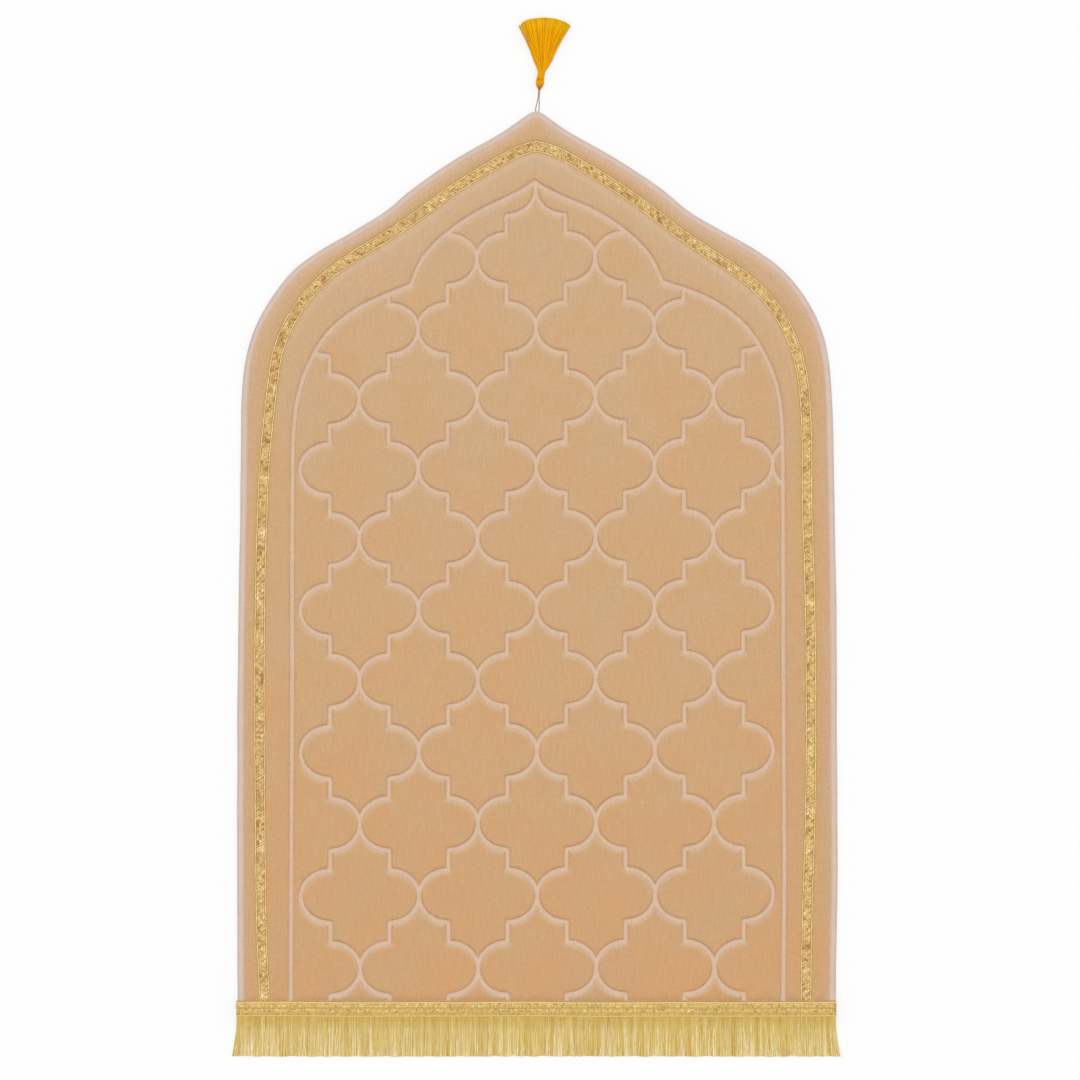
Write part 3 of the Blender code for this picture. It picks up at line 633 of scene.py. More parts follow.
# ---- camera, lights, floor
def make_view():
    scene = bpy.context.scene
    data = bpy.data.cameras.new("camera")
    data.lens, data.sensor_width = LENS, SENSOR
    camera = put_in_scene("camera", data)
    across = (PHOTO_SIDE / 2 - CENTRE_COLUMN) * PIXEL
    along = ORIGIN_Y + (HEADING_ROW - PHOTO_SIDE / 2) * PIXEL
    height = SURFACE_Z + PHOTO_SIDE * PIXEL * LENS / SENSOR
    camera.location = (across, along, height)
    scene.camera = camera

    world = bpy.data.worlds.new("studio")
    world.use_nodes = True
    background = world.node_tree.nodes["Background"]
    background.inputs["Color"].default_value = (1, 1, 1, 1)
    background.inputs["Strength"].default_value = SKY_LIGHT
    scene.world = world

    sun = bpy.data.lights.new("softbox", "SUN")
    sun.energy, sun.angle = SUN_LIGHT, SUN_WIDTH
    put_in_scene("softbox", sun).rotation_euler = (SUN_TILT, 0, 0)

    plane = bpy.data.meshes.new("floor")
    ways = ((-1, -1), (1, -1), (1, 1), (-1, 1))
    corners = [(FLOOR_REACH * x, FLOOR_REACH * y, 0) for x, y in ways]
    plane.from_pydata(corners, [], [(0, 1, 2, 3)])
    paint = Nodes(
        "floor_paint", Roughness=0.9, Specular_IOR_Level=0.0, Emission_Strength=FLOOR_GLOW
    )
    paint.colour((FLOOR_GREY, FLOOR_GREY, FLOOR_GREY, 1))
    plane.materials.append(paint.material)
    floor = put_in_scene("floor", plane)

    scene.view_settings.view_transform = "Standard"
    scene.view_settings.look = "None"


# ---- the rug's lines
STEP = 0.0028  # between points along the pressed lines
TRIM_STEP = 0.0030  # and along the edge and the braid
EDGE = both_sides(TRIM_STEP, EDGE_ROWS)
BRAID = both_sides(TRIM_STEP, BRAID_ROWS)
PANEL = leaning(both_sides(STEP, UPPER_FOIL_ROWS, LOWER_FOIL_ROWS))


def row_y(row):
    """Height of a trellis row's centre line."""
    return TOP_ROW_Y - ROW_PITCH * row - ROW_PITCH_GROWTH * row * row


def lobe_half(row):
    """Half the height of a side lobe."""
    return LOBE_HALF + LOBE_GROWTH * row


def right_side(x, row):
    """The right half of a tile's outline, from its upper tip down to its lower tip."""
    lobe = TILE_HALF / 2
    turn = np.linspace(0, math.pi / 2, round(lobe * math.pi / 2 / STEP) + 1)
    across, rise = lobe * np.cos(turn), np.sin(turn)
    above, level, below = (lobe_half(r) * rise for r in (row - 1, row, row + 1))
    step_x, y = x + lobe, row_y(row)
    arcs = [
        (step_x - across, row_y(row - 1) - above),
        (step_x + across[::-1], y + level[::-1]),
        (step_x + across[1:], y - level[1:]),
        (step_x - across[::-1], row_y(row + 1) + below[::-1]),
    ]
    arcs = [np.column_stack(a) for a in arcs]
    steps = [spaced(np.vstack([a[-1], b[0]]), STEP)[1:-1] for a, b in zip(arcs[::2], arcs[1::2])]
    return np.vstack([arcs[0], steps[0], arcs[1], arcs[2], steps[1], arcs[3]])


def as_pressed(line):
    """A line of the trellis where the press set it."""
    return leaning(line + np.outer(TRELLIS_SHIFT + TRELLIS_SLANT * line[:, 1], [1, 0]))


def tile_outlines():
    """Each tile's outline as (line, closed), with the half tiles at the panel's sides."""
    made = []
    for row in range(-1, LAST_ROW + 1):
        places = (-1.5, -0.5, 0.5, 1.5) if row % 2 else (-1, 0, 1)
        for place in places:
            x = place * 2 * TILE_HALF
            right = right_side(x, row)
            left = right[::-1] * [-1, 1] + [2 * x, 0]
            made.append((as_pressed(np.vstack([right[:-1], left[:-1]])), True))
        if row % 2 == 0 and row > 0:
            right = right_side(-SIDE_HALVES * TILE_HALF, row)
            made.append((as_pressed(right), False))
            made.append((as_pressed(right[::-1] * [-1, 1]), False))
    turn = np.linspace(0, SIDE_ARC_TURN, SIDE_ARC_POINTS)
    x = (SIDE_HALVES + 0.5 - 0.5 * np.cos(turn)) * TILE_HALF
    for way in (-1, 1):
        y = row_y(SIDE_ARC_ROW) + way * lobe_half(SIDE_ARC_ROW) * np.sin(turn)
        arc = as_pressed(np.column_stack([x, y]))
        made += [(arc, False), (arc[::-1], False)]
    return made


# ---- the velvet mat
GROOVE_ROWS = [  # distance from the pressed line, height, how pressed, painted highlight, painted shade
    (0.0, 0.0094, 1.00, 0.00, 0.00),
    (0.0014, 0.0094, 1.00, 0.00, 0.00),
    (0.0021, 0.0099, 0.90, 1.00, 0.00),
    (0.0027, 0.0107, 0.30, 1.00, 0.18),
    (0.0034, 0.0115, 0.02, 0.90, 0.36),
    (0.0044, 0.0119, 0.00, 0.60, 0.12),
    (0.0058, 0.0120, 0.00, 0.34, 0.00),
    (0.0088, 0.0120, 0.00, 0.00, 0.00),
]
CROWN_ROWS = [  # distance in from the bound edge, height, how pressed, painted highlight, painted shade
    (0.0074, 0.0056, 1.00, 0.00, 0.00),
    (0.0082, 0.0068, 0.85, 0.30, 0.00),
    (0.0094, 0.0088, 0.35, 0.25, 0.08),
    (0.0114, 0.0105, 0.20, 0.20, 0.05),
    (0.0146, 0.0116, 0.05, 0.00, 0.00),
    (0.0190, 0.0120, 0.00, 0.00, 0.00),
]
BED_ROWS = [  # distance from the braid's centre line, height, how pressed, painted highlight, painted shade
    (0.0061, 0.0088, 0.45, 0.80, 0.00),
    (0.0067, 0.0100, 0.35, 0.90, 0.00),
    (0.0080, 0.0107, 0.15, 1.00, 0.03),
    (0.0100, 0.0113, 0.00, 1.00, 0.03),
    (0.0125, 0.0118, 0.00, 0.70, 0.00),
    (0.0165, 0.0120, 0.00, 0.25, 0.00),
    (0.0240, 0.0120, 0.00, 0.20, 0.00),
]
HEEL_ROWS = [  # distance up from the heading's lower edge, height
    (0.0188, 0.0076),
    (0.0205, 0.0093),
    (0.0235, 0.0108),
    (0.0280, 0.0116),
    (0.0340, 0.0120),
]
HEADING_BED = 0.0055  # the mat's height under the heading
MAT_END = 0.0020  # y of the mat's lower end, under the heading
CROWN_START = 0.0030  # y where the row of points along the binding starts
RIM_INSET = 0.0018  # of the mat from the bound edge, inside the fold
UNDERSIDE_ROWS = [  # distance in from the bound edge, height
    (0.0018, 0.0015),
    (0.0074, 0.0015),
    (0.0095, 0.0),
]
FILL_STEP = 0.0085  # between the points inside a pad
FILL_ROW_STEP = 0.87 * FILL_STEP
FILL_REACH = 0.36  # x of the outermost, on both sides
FILL_START = 0.02  # y of the lowest
FILL_CLEAR = 0.003  # between those points and the outer rows along the pressed lines
BED_CLEAR = 0.002  # and along the braid
FILL_INSET = 0.021  # from the bound edge
ROW_STEP = 0.004  # between the points along the braid and the heading
MERGE = 0.0002  # points nearer to each other than this become one
PAD_HEIGHT = GROOVE_ROWS[-1][1]
SWELL_FROM = 0.0105  # the velvet's height above which it swells a little
SWELL = 0.00022  # and how far
PRESSED_AND_LIT_LAP = 0.0006  # how much wider the pale pressed colour is on a line's lower side, which faces the light: pressed pile and painted highlight
DARK_LEVEL = 0.1  # how much painted shadow a line running up the rug has
DARK_GAIN = 0.8  # and how much is added on the upper side of a line running across, which faces away from the light
UNEVEN = 0.35  # share by which those shadows vary
UNEVEN_RANGE = (0.3, 1.7)
GOLDEN_ROWS = [(0.0064, 0.7), (0.0125, 0.0)]  # distance from the braid's centre, how golden


def pressed_lines():
    """The pressed lines' segments, and the rows of points along their channels."""
    tiles = tile_outlines()

    def in_panel(points):
        return inside(points, PANEL)

    pieces, rows = [segments(PANEL)], [PANEL]
    for line, closed in tiles:
        whole = np.vstack([line, line[:1]]) if closed else line
        for stretch in trimmed(whole, in_panel):
            pieces.append(segments(stretch))
            rows.append(stretch)
    pieces = np.vstack(pieces)

    for half, *_ in GROOVE_ROWS[1:]:

        def clear(points, half=half):
            return (nearest(points, pieces)[0] > half - MERGE / 10) & in_panel(points)

        for line, closed in tiles:
            moved = offset(line, half, closed)
            moved = np.vstack([moved, moved[:1]]) if closed else moved
            rows += trimmed(moved, clear)
        rows += trimmed(offset(PANEL, half), clear)
        rows.append(offset(PANEL, -half))
    return pieces, rows


def mat_form(points, pressed):
    """Height of the velvet face at each point, how pressed its pile is, and its painted light and
    shade.

    The slope below a pressed line faces the light and gets a painted highlight; above it the pile
    gets painted shade."""
    sources = [
        (GROOVE_ROWS, *nearest(points, pressed)),
        (CROWN_ROWS, *nearest(points, segments(EDGE))),
        (BED_ROWS, *nearest(points, segments(BRAID))),
    ]
    heel = table(HEEL_ROWS, 1, points[:, 1])
    heel[points[:, 1] < HEEL_ROWS[0][0] - MERGE / 2] = HEADING_BED
    levels = [table(rows, 1, gap) for rows, gap, _ in sources]
    height = np.minimum.reduce([*levels, heel])
    free = np.clip((height - SWELL_FROM) / (PAD_HEIGHT - SWELL_FROM), 0, 1)
    height += free * SWELL * waves(points, size=0.045, seed=3)
    flat, painted_highlight, painted_shade = [], [], []
    for rows, gap, way in sources:
        # below: how far a point lies on its line's lower side, the side that faces the light
        below = np.clip(-way[:, 1], 0, 1)
        flat.append(table(rows, 2, gap - PRESSED_AND_LIT_LAP * below))
        painted_highlight.append(table(rows, 3, gap) * below)
        painted_shade.append(table(rows, 4, gap) * np.clip(DARK_LEVEL + DARK_GAIN * way[:, 1], 0, 1))
    uneven = np.clip(1 + UNEVEN * waves(points, size=0.07, seed=4), *UNEVEN_RANGE)
    return {
        "height": height,
        "pressed": np.maximum.reduce(flat),
        "painted_highlight": np.maximum.reduce(painted_highlight),
        "painted_shade": np.maximum.reduce(painted_shade) * uneven,
        "golden": table(GOLDEN_ROWS, 1, sources[2][1]),
        "height_up": np.clip(points[:, 1], 0, 1),
    }


def pad_points(pressed):
    """Points that fill the ground between the lines."""
    across = np.arange(-FILL_REACH, FILL_REACH, FILL_STEP)
    along = np.arange(FILL_START, ARCH_APEX_Y, FILL_ROW_STEP)
    fill = np.array([(x + FILL_STEP / 2 * (j % 2), y) for j, y in enumerate(along) for x in across])
    free = inside(fill, offset(EDGE, FILL_INSET))
    free &= nearest(fill, pressed)[0] > GROOVE_ROWS[-1][0] + FILL_CLEAR
    free &= nearest(fill, segments(BRAID))[0] > BED_ROWS[-1][0] + BED_CLEAR
    free &= fill[:, 1] > HEEL_ROWS[-1][0] + FILL_CLEAR
    return fill[free]


def face_plan(rim, pressed, rows):
    """The velvet face seen from above: its points, and triangles that keep to the rows."""
    rows += [offset(EDGE, inset) for inset, *_ in CROWN_ROWS[1:]]
    for half, *_ in BED_ROWS:
        rows += [spaced(offset(BRAID, side * half), ROW_STEP) for side in (-1, 1)]
    rows = [s for row in rows for s in trimmed(row, lambda p: p[:, 1] > HEEL_ROWS[0][0])]
    rows += trimmed(offset(EDGE, CROWN_ROWS[0][0]), lambda p: p[:, 1] > CROWN_START)
    reach = HEADING_HALF_WIDTH - CROWN_ROWS[0][0]
    rows += [spaced(np.array([(-reach, y), (reach, y)]), ROW_STEP) for y, _ in HEEL_ROWS]
    coordinates = [Vector(p) for p in rim]
    edges = [(i, (i + 1) % len(rim)) for i in range(len(rim))]
    for row in rows:
        first = len(coordinates)
        coordinates += [Vector(p) for p in row]
        edges += [(first + i, first + i + 1) for i in range(len(row) - 1)]
    coordinates += [Vector(p) for p in pad_points(pressed)]
    flat, _, triangles, *_ = delaunay_2d_cdt(coordinates, edges, [], 0, MERGE, False)
    plan = np.array([tuple(p) for p in flat])
    triangles = np.array(triangles)
    return plan, triangles[inside(plan[triangles].mean(axis=1), rim)]


def make_mat(material, under):
    """The velvet face, and the walls and underside that close it, which are of plain cloth."""
    pressed, rows = pressed_lines()
    rim = offset(EDGE, RIM_INSET)
    rim[[0, -1], 1] = MAT_END
    plan, triangles = face_plan(rim, pressed, rows)
    form = mat_form(plan, pressed)
    points = [np.column_stack([plan, form.pop("height")])]
    loops, first = [outline_of(triangles)], len(plan)
    for inset, level in UNDERSIDE_ROWS:
        ring = offset(plan[loops[0]], RIM_INSET - inset, closed=True)
        points.append(np.column_stack([ring, np.full(len(ring), level)]))
        loops.append(first + np.arange(len(ring)))
        first += len(ring)
    walls = [
        np.column_stack([a, b, np.roll(b, -1), np.roll(a, -1)]) for a, b in zip(loops, loops[1:])
    ]
    values = {key: np.r_[value, np.zeros(first - len(plan))] for key, value in form.items()}
    faces = [triangles, *walls, loops[-1][None, ::-1]]
    mat = mesh_piece("velvet_mat", np.vstack(points), faces, [material, under], values)
    cloths = np.zeros(len(mat.data.polygons), np.int32)
    cloths[len(triangles) :] = 1
    mat.data.polygons.foreach_set("material_index", cloths)
    return mat


# ---- binding
BINDING_SECTION = [  # distance in from the edge, height, how far out it faces, which also sets its painted sheen
    (0.0, 0.00275, 1.0),
    (0.0003, 0.0040, 1.0),
    (0.0010, 0.0050, 0.9),
    (0.0022, 0.0057, 0.6),
    (0.0040, 0.0060, 0.2),
    (0.0057, 0.0060, 0.0),
    (0.0068, 0.0058, 0.0),
    (0.0072, 0.0053, 0.0),
    (0.0070, 0.0045, 0.0),
    (0.0040, 0.0045, 0.0),
    (0.0016, 0.0043, 0.0),
    (0.0015, 0.0013, 0.0),
    (0.0070, 0.0012, 0.0),
    (0.0071, 0.0, 0.0),
    (0.0022, 0.0, 0.6),
    (0.0010, 0.0005, 0.9),
    (0.0003, 0.0015, 1.0),
]
BINDING_LIP = 0.0045  # the strip puckers above this height
PUCKER = 0.00012  # how far it rises in its puckers
WANDER = 0.00025  # how far the fold wanders in and out


def make_binding(material):
    """The strip folded over the mat's edge, a little puckered by its seam."""
    along = travel(EDGE)
    pucker = waves_along(along, size=0.011, seed=5)
    wander = waves_along(along, size=0.09, seed=6)
    outward = offset(EDGE, 1.0) - EDGE
    point = int(EDGE[:, 1].argmax())
    stations = []
    for inset, level, out in BINDING_SECTION:
        ring = offset(EDGE, inset) + outward * (WANDER * out * wander)[:, None]
        ring[:point, 0] = np.minimum(ring[:point, 0], 0)
        ring[point:, 0] = np.maximum(ring[point:, 0], 0)
        puff = PUCKER * pucker * (level > BINDING_LIP)
        stations.append(np.column_stack([ring, level + puff]))
    points, faces = lofted(np.stack(stations, axis=1))
    # how far out each corner faces, which sets the fold's painted sheen
    outer = np.tile([row[2] for row in BINDING_SECTION], len(EDGE))
    return mesh_piece("folded_binding", points, faces, [material], {"outer": outer})


# ---- braid
BRAID_Z = 0.0088  # height of its bed
GROUND_HALF = 0.00582
GROUND_SECTION = [  # share of its half width, height
    (-1.0, 0.0),
    (-1.0, 0.0004),
    (-0.6, 0.0006),
    (0.6, 0.0006),
    (1.0, 0.0004),
    (1.0, 0.0),
]
COLUMNS = [  # distance across, half width, which way the floats slant
    (-0.0027, 0.00145, 1),
    (0.0, 0.00130, -1),
    (0.0027, 0.00145, 1),
]
FLOAT_PITCH = 0.0028
FLOAT_JITTER = 0.0003
FLOAT_SLANT = 1.15  # distance along for each across
FLOAT_HALVES = (0.00108, 0.00034)  # half its width, half its height
FLOAT_ARCH = (0.00062, 0.00045, 0.93)  # height of its ends, rise of its middle, how round
FLOAT_UNEVEN = 0.00006  # how much higher or lower one lies than its neighbours
FLOAT_TAPER = 0.35  # how much narrower its ends are
EDGE_YARNS = (-0.0054, 0.0054)  # the bright yarns laid along both of its edges
EDGE_YARN_HALVES = (0.00068, 0.00052)
EDGE_YARN_WAVE = (0.00012, 0.0031)  # how far it wanders, and the length of a radian of that
EDGE_YARN_TONE = 0.82
BRAID_DIP = [  # y, how far the braid lies lower than on its bed
    (0.0182, 0.0026),
    (0.0190, 0.0024),
    (0.0206, 0.0),
]


def along_line(line, z_of):
    """A function from distance along the line, distance across and lift to a place."""
    at = travel(line)
    across = offset(line, 1.0) - line

    def place(u, v, lift):
        x, y, nx, ny = (
            np.interp(u, at, column)
            for column in (line[:, 0], line[:, 1], across[:, 0], across[:, 1])
        )
        x, y = x + nx * v, y + ny * v
        return np.stack([x, y, z_of(y) + lift], axis=-1)

    return place, at[-1]


def arched(t, ends, rise, roundness):
    """The height of a float's middle line, where t runs from -1 to 1 along the float."""
    return ends + rise * np.sqrt(1 - (roundness * t) ** 2)


def make_braid(ground, yarn):
    line = trimmed(spaced(BRAID, TRIM_STEP), lambda p: p[:, 1] > HEADING_HEIGHT)[0]
    place, length = along_line(line, lambda y: BRAID_Z - table(BRAID_DIP, 1, y))
    marks = np.linspace(0, length, len(line))
    stations = [place(marks, v * GROUND_HALF, lift) for v, lift in GROUND_SECTION]
    points, faces = lofted(np.stack(stations, axis=1))
    base = mesh_piece("braid_ground", points, faces, [ground], {"tone": np.zeros(len(points))})

    random = np.random.default_rng(11)
    parts = []
    count = int(length / FLOAT_PITCH)
    t = np.linspace(-1, 1, 4)
    wide, tall = FLOAT_HALVES
    for across, half, slant in COLUMNS:
        middle = (np.arange(count) + 0.5) * FLOAT_PITCH + about(random, 0, FLOAT_JITTER, count)
        reach = half * about(random, 1.05, 0.12, count)
        u = middle[:, None] + slant * t * half * FLOAT_SLANT
        v = across + t * reach[:, None]
        lift = arched(t, *FLOAT_ARCH) + about(random, 0, FLOAT_UNEVEN, count)[:, None]
        path = place(np.clip(u, 0, length), v, lift)
        widths = wide * (1 - FLOAT_TAPER * t**2) * about(random, 1, 0.1, count)[:, None]
        patch = waves_along(middle, size=0.022, seed=12, across=across)
        tone = np.clip(about(random, 0.5, 0.2, count) + 0.12 * patch, 0, 1)
        parts.append(tubes(path, widths, tall, 4, {"tone": tone}, turn=math.pi / 2))
    reach, radian = EDGE_YARN_WAVE
    for across in EDGE_YARNS:
        path = place(marks, across + reach * np.sin(marks / radian), FLOAT_ARCH[0])[None]
        tone = [np.clip(about(random, EDGE_YARN_TONE, 0.12, len(marks)), 0, 1)]
        parts.append(tubes(path, *EDGE_YARN_HALVES, 4, {"tone": tone}, turn=math.pi / 4))
    points, faces, values = joined(*parts)
    yarns = mesh_piece("braid_yarns", points, faces, [yarn], values, smooth_faces=False)
    return base, yarns


# ---- fringe
HEADING_Z = 0.0070
TAPE_SECTION = [  # y, z
    (0.0, 0.0058),
    (0.0, 0.0068),
    (0.0008, 0.0071),
    (0.0174, 0.0071),
    (0.0182, 0.0067),
    (0.0182, 0.0058),
]
CORDS = [  # y of a heading cord, its radius, its tone
    (0.0176, 0.00050, 0.25),
    (0.0162, 0.00098, 1.00),
    (0.0098, 0.00075, 0.66),
    (0.0042, 0.00075, 0.74),
    (0.0008, 0.00105, 0.90),
]
STITCH_ROWS = [  # y of a row of floats between the cords, half its height
    (0.0143, 0.0009),
    (0.0120, 0.0012),
    (0.0078, 0.0009),
    (0.0060, 0.0009),
    (0.0029, 0.0005),
]
STITCH_PITCH = 0.0022
STITCH_JITTER = 0.0002
STITCH_LEAN = (0.0003, 0.0002)  # middle and scatter
STITCH_TONE = (3.0, 2.3)  # of a beta distribution
STITCH_HALVES = (0.00104, 0.0003)  # half its width, half its height
STITCH_ARCH = (0.0001, 0.0004, 0.9)  # height of its ends, rise of its middle, how round
CORD_TWIST = 0.0034  # length of one turn
CORD_STEP = 0.0012  # between its stations
CORD_LIFT = 0.55  # share of its radius by which it lies above the tape
PLIES = 2
PLY = (0.5, 0.62)  # shares of the cord's radius: how far out a ply runs, its own radius
TAPE_STATIONS = 180
TAPE_SAG = 0.00025


def twisted(place, length, y, radius, tone):
    """A cord of twisted plies laid along a line."""
    marks = np.linspace(0, length, round(length / CORD_STEP) + 1)
    out, ply_radius = (share * radius for share in PLY)
    parts = []
    for ply in range(PLIES):
        turn = 2 * math.pi * (marks / CORD_TWIST + ply / PLIES)
        lift = CORD_LIFT * radius + out * np.sin(turn)
        path = place(marks, -y + out * np.cos(turn), lift)[None]
        parts.append(tubes(path, ply_radius, ply_radius, 4, {"tone": [tone]}))
    return parts


def make_heading(ground, yarn):
    x = np.linspace(-HEADING_HALF_WIDTH, HEADING_HALF_WIDTH, TAPE_STATIONS)
    sag = TAPE_SAG * waves_along(x, size=0.12, seed=21)
    stations = [np.column_stack([x, y + sag, np.full(len(x), z)]) for y, z in TAPE_SECTION[::-1]]
    points, faces = lofted(np.stack(stations, axis=1))
    values = {"tone": np.full(len(points), 0.25)}
    tape = mesh_piece("fringe_heading", points, faces, [ground], values)

    place, length = along_line(np.column_stack([x, sag]), lambda y: HEADING_Z + 0 * y)
    random = np.random.default_rng(23)
    parts = []
    for y, radius, tone in CORDS:
        parts += twisted(place, length, y, radius, tone)
    t = np.linspace(-1, 1, 4)
    count = int(length / STITCH_PITCH)
    lift = arched(t, *STITCH_ARCH) * np.ones((count, 1))
    wide, tall = STITCH_HALVES
    for y, reach in STITCH_ROWS:
        middle = (np.arange(count) + 0.5) * STITCH_PITCH + about(random, 0, STITCH_JITTER, count)
        lean = about(random, *STITCH_LEAN, count)
        u = np.clip(middle[:, None] + t * lean[:, None], 0, length)
        v = -y + t * reach * np.ones((count, 1))
        tone = random.beta(*STITCH_TONE, count)
        widths = wide * about(random, 1, 0.12, count)[:, None]
        parts.append(tubes(place(u, v, lift), widths, tall, 4, {"tone": tone}))
    points, faces, values = joined(*parts)
    cords = mesh_piece("heading_cords", points, faces, [yarn], values, smooth_faces=False)
    return tape, cords


STRANDS = 3600  # in each of two layers
STRAND_STATIONS = np.array([0.0, 0.09, 0.2, 0.34, 0.55, 0.78, 1.0])  # shares of its length
STRAND_HALVES = (0.00027, 0.0001)  # half its width, half its height
STRAND_ROOT = (0.0012, 0.0060)  # y and z where it comes out of the heading
STRAND_LAYERS = 0.0006  # between the lowest root and the highest
FLOOR_LAYERS = 0.0019  # between the lowest strand on the floor and the highest
STRAND_PAST = 0.0028  # how much longer the longest is than the solids' fringe
STRAND_UNEVEN = 0.0007  # scatter of that
STRAND_SHORTER = (0.0004, 0.02)  # reach and size of its slow unevenness
STRAND_LEAN = 0.0009
STRAND_WIGGLE = 0.00022
STRAND_GATHERS = [(0.00075, 0.0075, 32), (0.0005, 0.0032, 33)]  # reach, size, seed of its locks
CORNER_LEAN = 0.0052  # of the strands at both ends of the heading
CORNER = 0.032  # width of those ends
STRAY_SHARE = 0.09
STRAY_LEAN = 0.0034
STRAY_PAST = 0.0006  # how much longer a stray strand is
# Tables over the share of a strand's length: its height above its rest, its tone, with painted
# shade near the root under the heading, and how much lighter a stray one is, as painted glints.
STRAND_DROP = [(0.0, 1.0), (0.09, 0.93), (0.2, 0.5), (0.34, 0.08), (1.0, 0.0)]
ROOT_PAINTED_SHADE = [(0.0, -0.34), (0.1, -0.3), (0.2, -0.1), (0.34, 0.0)]
STRAY_PAINTED_GLINT = [(0.2, 0.0), (0.34, 0.4), (0.78, 0.7)]


def make_strands(name, yarn, seed, low, high):
    """Fine flat strands: off the heading, down to the floor and along it, low to high."""
    random = np.random.default_rng(seed)
    share = STRAND_STATIONS
    half = HEADING_HALF_WIDTH - 2 * GAP
    root_x = np.sort(random.uniform(-half, half, STRANDS))
    layer = random.uniform(low, high, STRANDS)
    gather = sum(reach * waves_along(root_x, size, key) for reach, size, key in STRAND_GATHERS)
    corner = np.maximum(0, (np.abs(root_x) - half + CORNER) / CORNER) ** 2
    stray = random.uniform(0, 1, STRANDS) < STRAY_SHARE
    lean = np.sign(root_x) * CORNER_LEAN * corner + about(random, 0, STRAND_LEAN, STRANDS)
    lean += stray * about(random, 0, STRAY_LEAN, STRANDS)
    length = FRINGE_LENGTH + STRAND_PAST - np.abs(about(random, 0, STRAND_UNEVEN, STRANDS))
    reach, size = STRAND_SHORTER
    length += stray * STRAY_PAST - reach * (1 + waves_along(root_x, size, seed=34))
    root_y, root_z = STRAND_ROOT
    y = root_y - share * (length[:, None] + root_y)
    turns = random.uniform(4, 9, STRANDS)[:, None] * share
    wiggle = STRAND_WIGGLE * np.sin(turns + random.uniform(0, 6.3, STRANDS)[:, None])
    x = root_x[:, None] + (gather + lean)[:, None] * share**1.6 + wiggle * share
    rest = GAP + FLOOR_LAYERS * layer[:, None] * (1 - 0.25 * share)
    root = root_z + STRAND_LAYERS * layer[:, None]
    z = rest + (root - rest) * table(STRAND_DROP, 1, share)
    wide, tall = STRAND_HALVES
    widths = wide * random.uniform(0.75, 1.3, STRANDS)[:, None] * (1 + 0.1 * share)
    tone = about(random, 0.5, 0.17, STRANDS) + 0.12 * waves_along(root_x, 0.009, 35)
    glint = about(random, 0, 0.13, (STRANDS, len(share)))
    fade = about(random, 0.02, 0.3, STRANDS) + 0.25 * waves_along(root_x, 0.0045, 36)
    # painted shade near the roots, under the heading
    tones = tone[:, None] + glint + table(ROOT_PAINTED_SHADE, 1, share) + fade[:, None] * share**2
    # stray strands get lighter down their length: painted glints
    tones = np.clip(tones + stray[:, None] * table(STRAY_PAINTED_GLINT, 1, share), 0, 1)
    paths = np.stack([x, y, z], axis=-1)
    points, faces, values = tubes(paths, widths, tall, 3, {"tone": tones}, turn=math.pi / 2)
    return mesh_piece(name, points, faces, [yarn], values, smooth_faces=False)


# ---- tassel
TASSEL_X = 0.0033
TASSEL_Y = 1.0809
TASSEL_LEAN = math.radians(4.0)
TASSEL_FORM = [  # distance from the head's tip, how far it is bent, half width, underside, top
    (0.0, 0.0002, 0.0006, 0.0021, 0.0038),
    (0.0010, 0.0002, 0.0010, 0.0013, 0.0049),
    (0.0030, 0.0002, 0.0021, 0.0005, 0.0062),
    (0.0055, 0.0003, 0.0039, 0.0001, 0.0073),
    (0.0080, 0.0004, 0.0046, 0.0001, 0.0074),
    (0.0105, 0.0004, 0.0044, 0.0003, 0.0069),
    (0.0135, 0.0005, 0.0041, 0.0004, 0.0065),
    (0.0180, 0.0009, 0.0039, 0.0004, 0.0064),
    (0.0210, 0.0012, 0.0039, 0.0003, 0.0063),
    (0.0245, 0.0014, 0.0055, 0.0003, 0.0062),
    (0.0300, 0.0017, 0.0088, 0.0003, 0.0060),
    (0.0384, 0.0015, 0.0125, 0.0003, 0.0057),
    (0.0454, 0.0010, 0.0149, 0.0003, 0.0054),
    (0.0560, 0.0005, 0.0199, 0.0003, 0.0050),
    (0.0664, -0.0001, 0.0249, 0.0003, 0.0046),
    (0.0734, -0.0006, 0.0292, 0.0003, 0.0044),
    (0.0854, -0.0009, 0.0366, 0.0003, 0.0042),
]
SKIRT_START = 0.0085
SKIRT_LENGTH = 0.0844
SKIRT_TIP_DROP = 0.0096
SKIRT_TIP_TURN = 0.0024  # the tips lie square to the rug, not to the leaning tassel
SKIRT_STRANDS = 1700
SKIRT_STATIONS = np.array([0, 0.05, 0.1, 0.15, 0.2, 0.28, 0.4, 0.6, 0.8, 1.0])  # shares
SKIRT_RADIUS = 0.00021
SKIRT_CLUMP = (0.02, 0.22)  # reach and size of its locks, across a fan from -1 to 1
SKIRT_WIGGLE = 0.00018
SKIRT_FLATTENS = [(0.02, 0.0), (0.06, 1.0)]  # y, how far its round section has turned flat
SKIRT_CREASES = 22
CREASE_WIDTH = 0.009
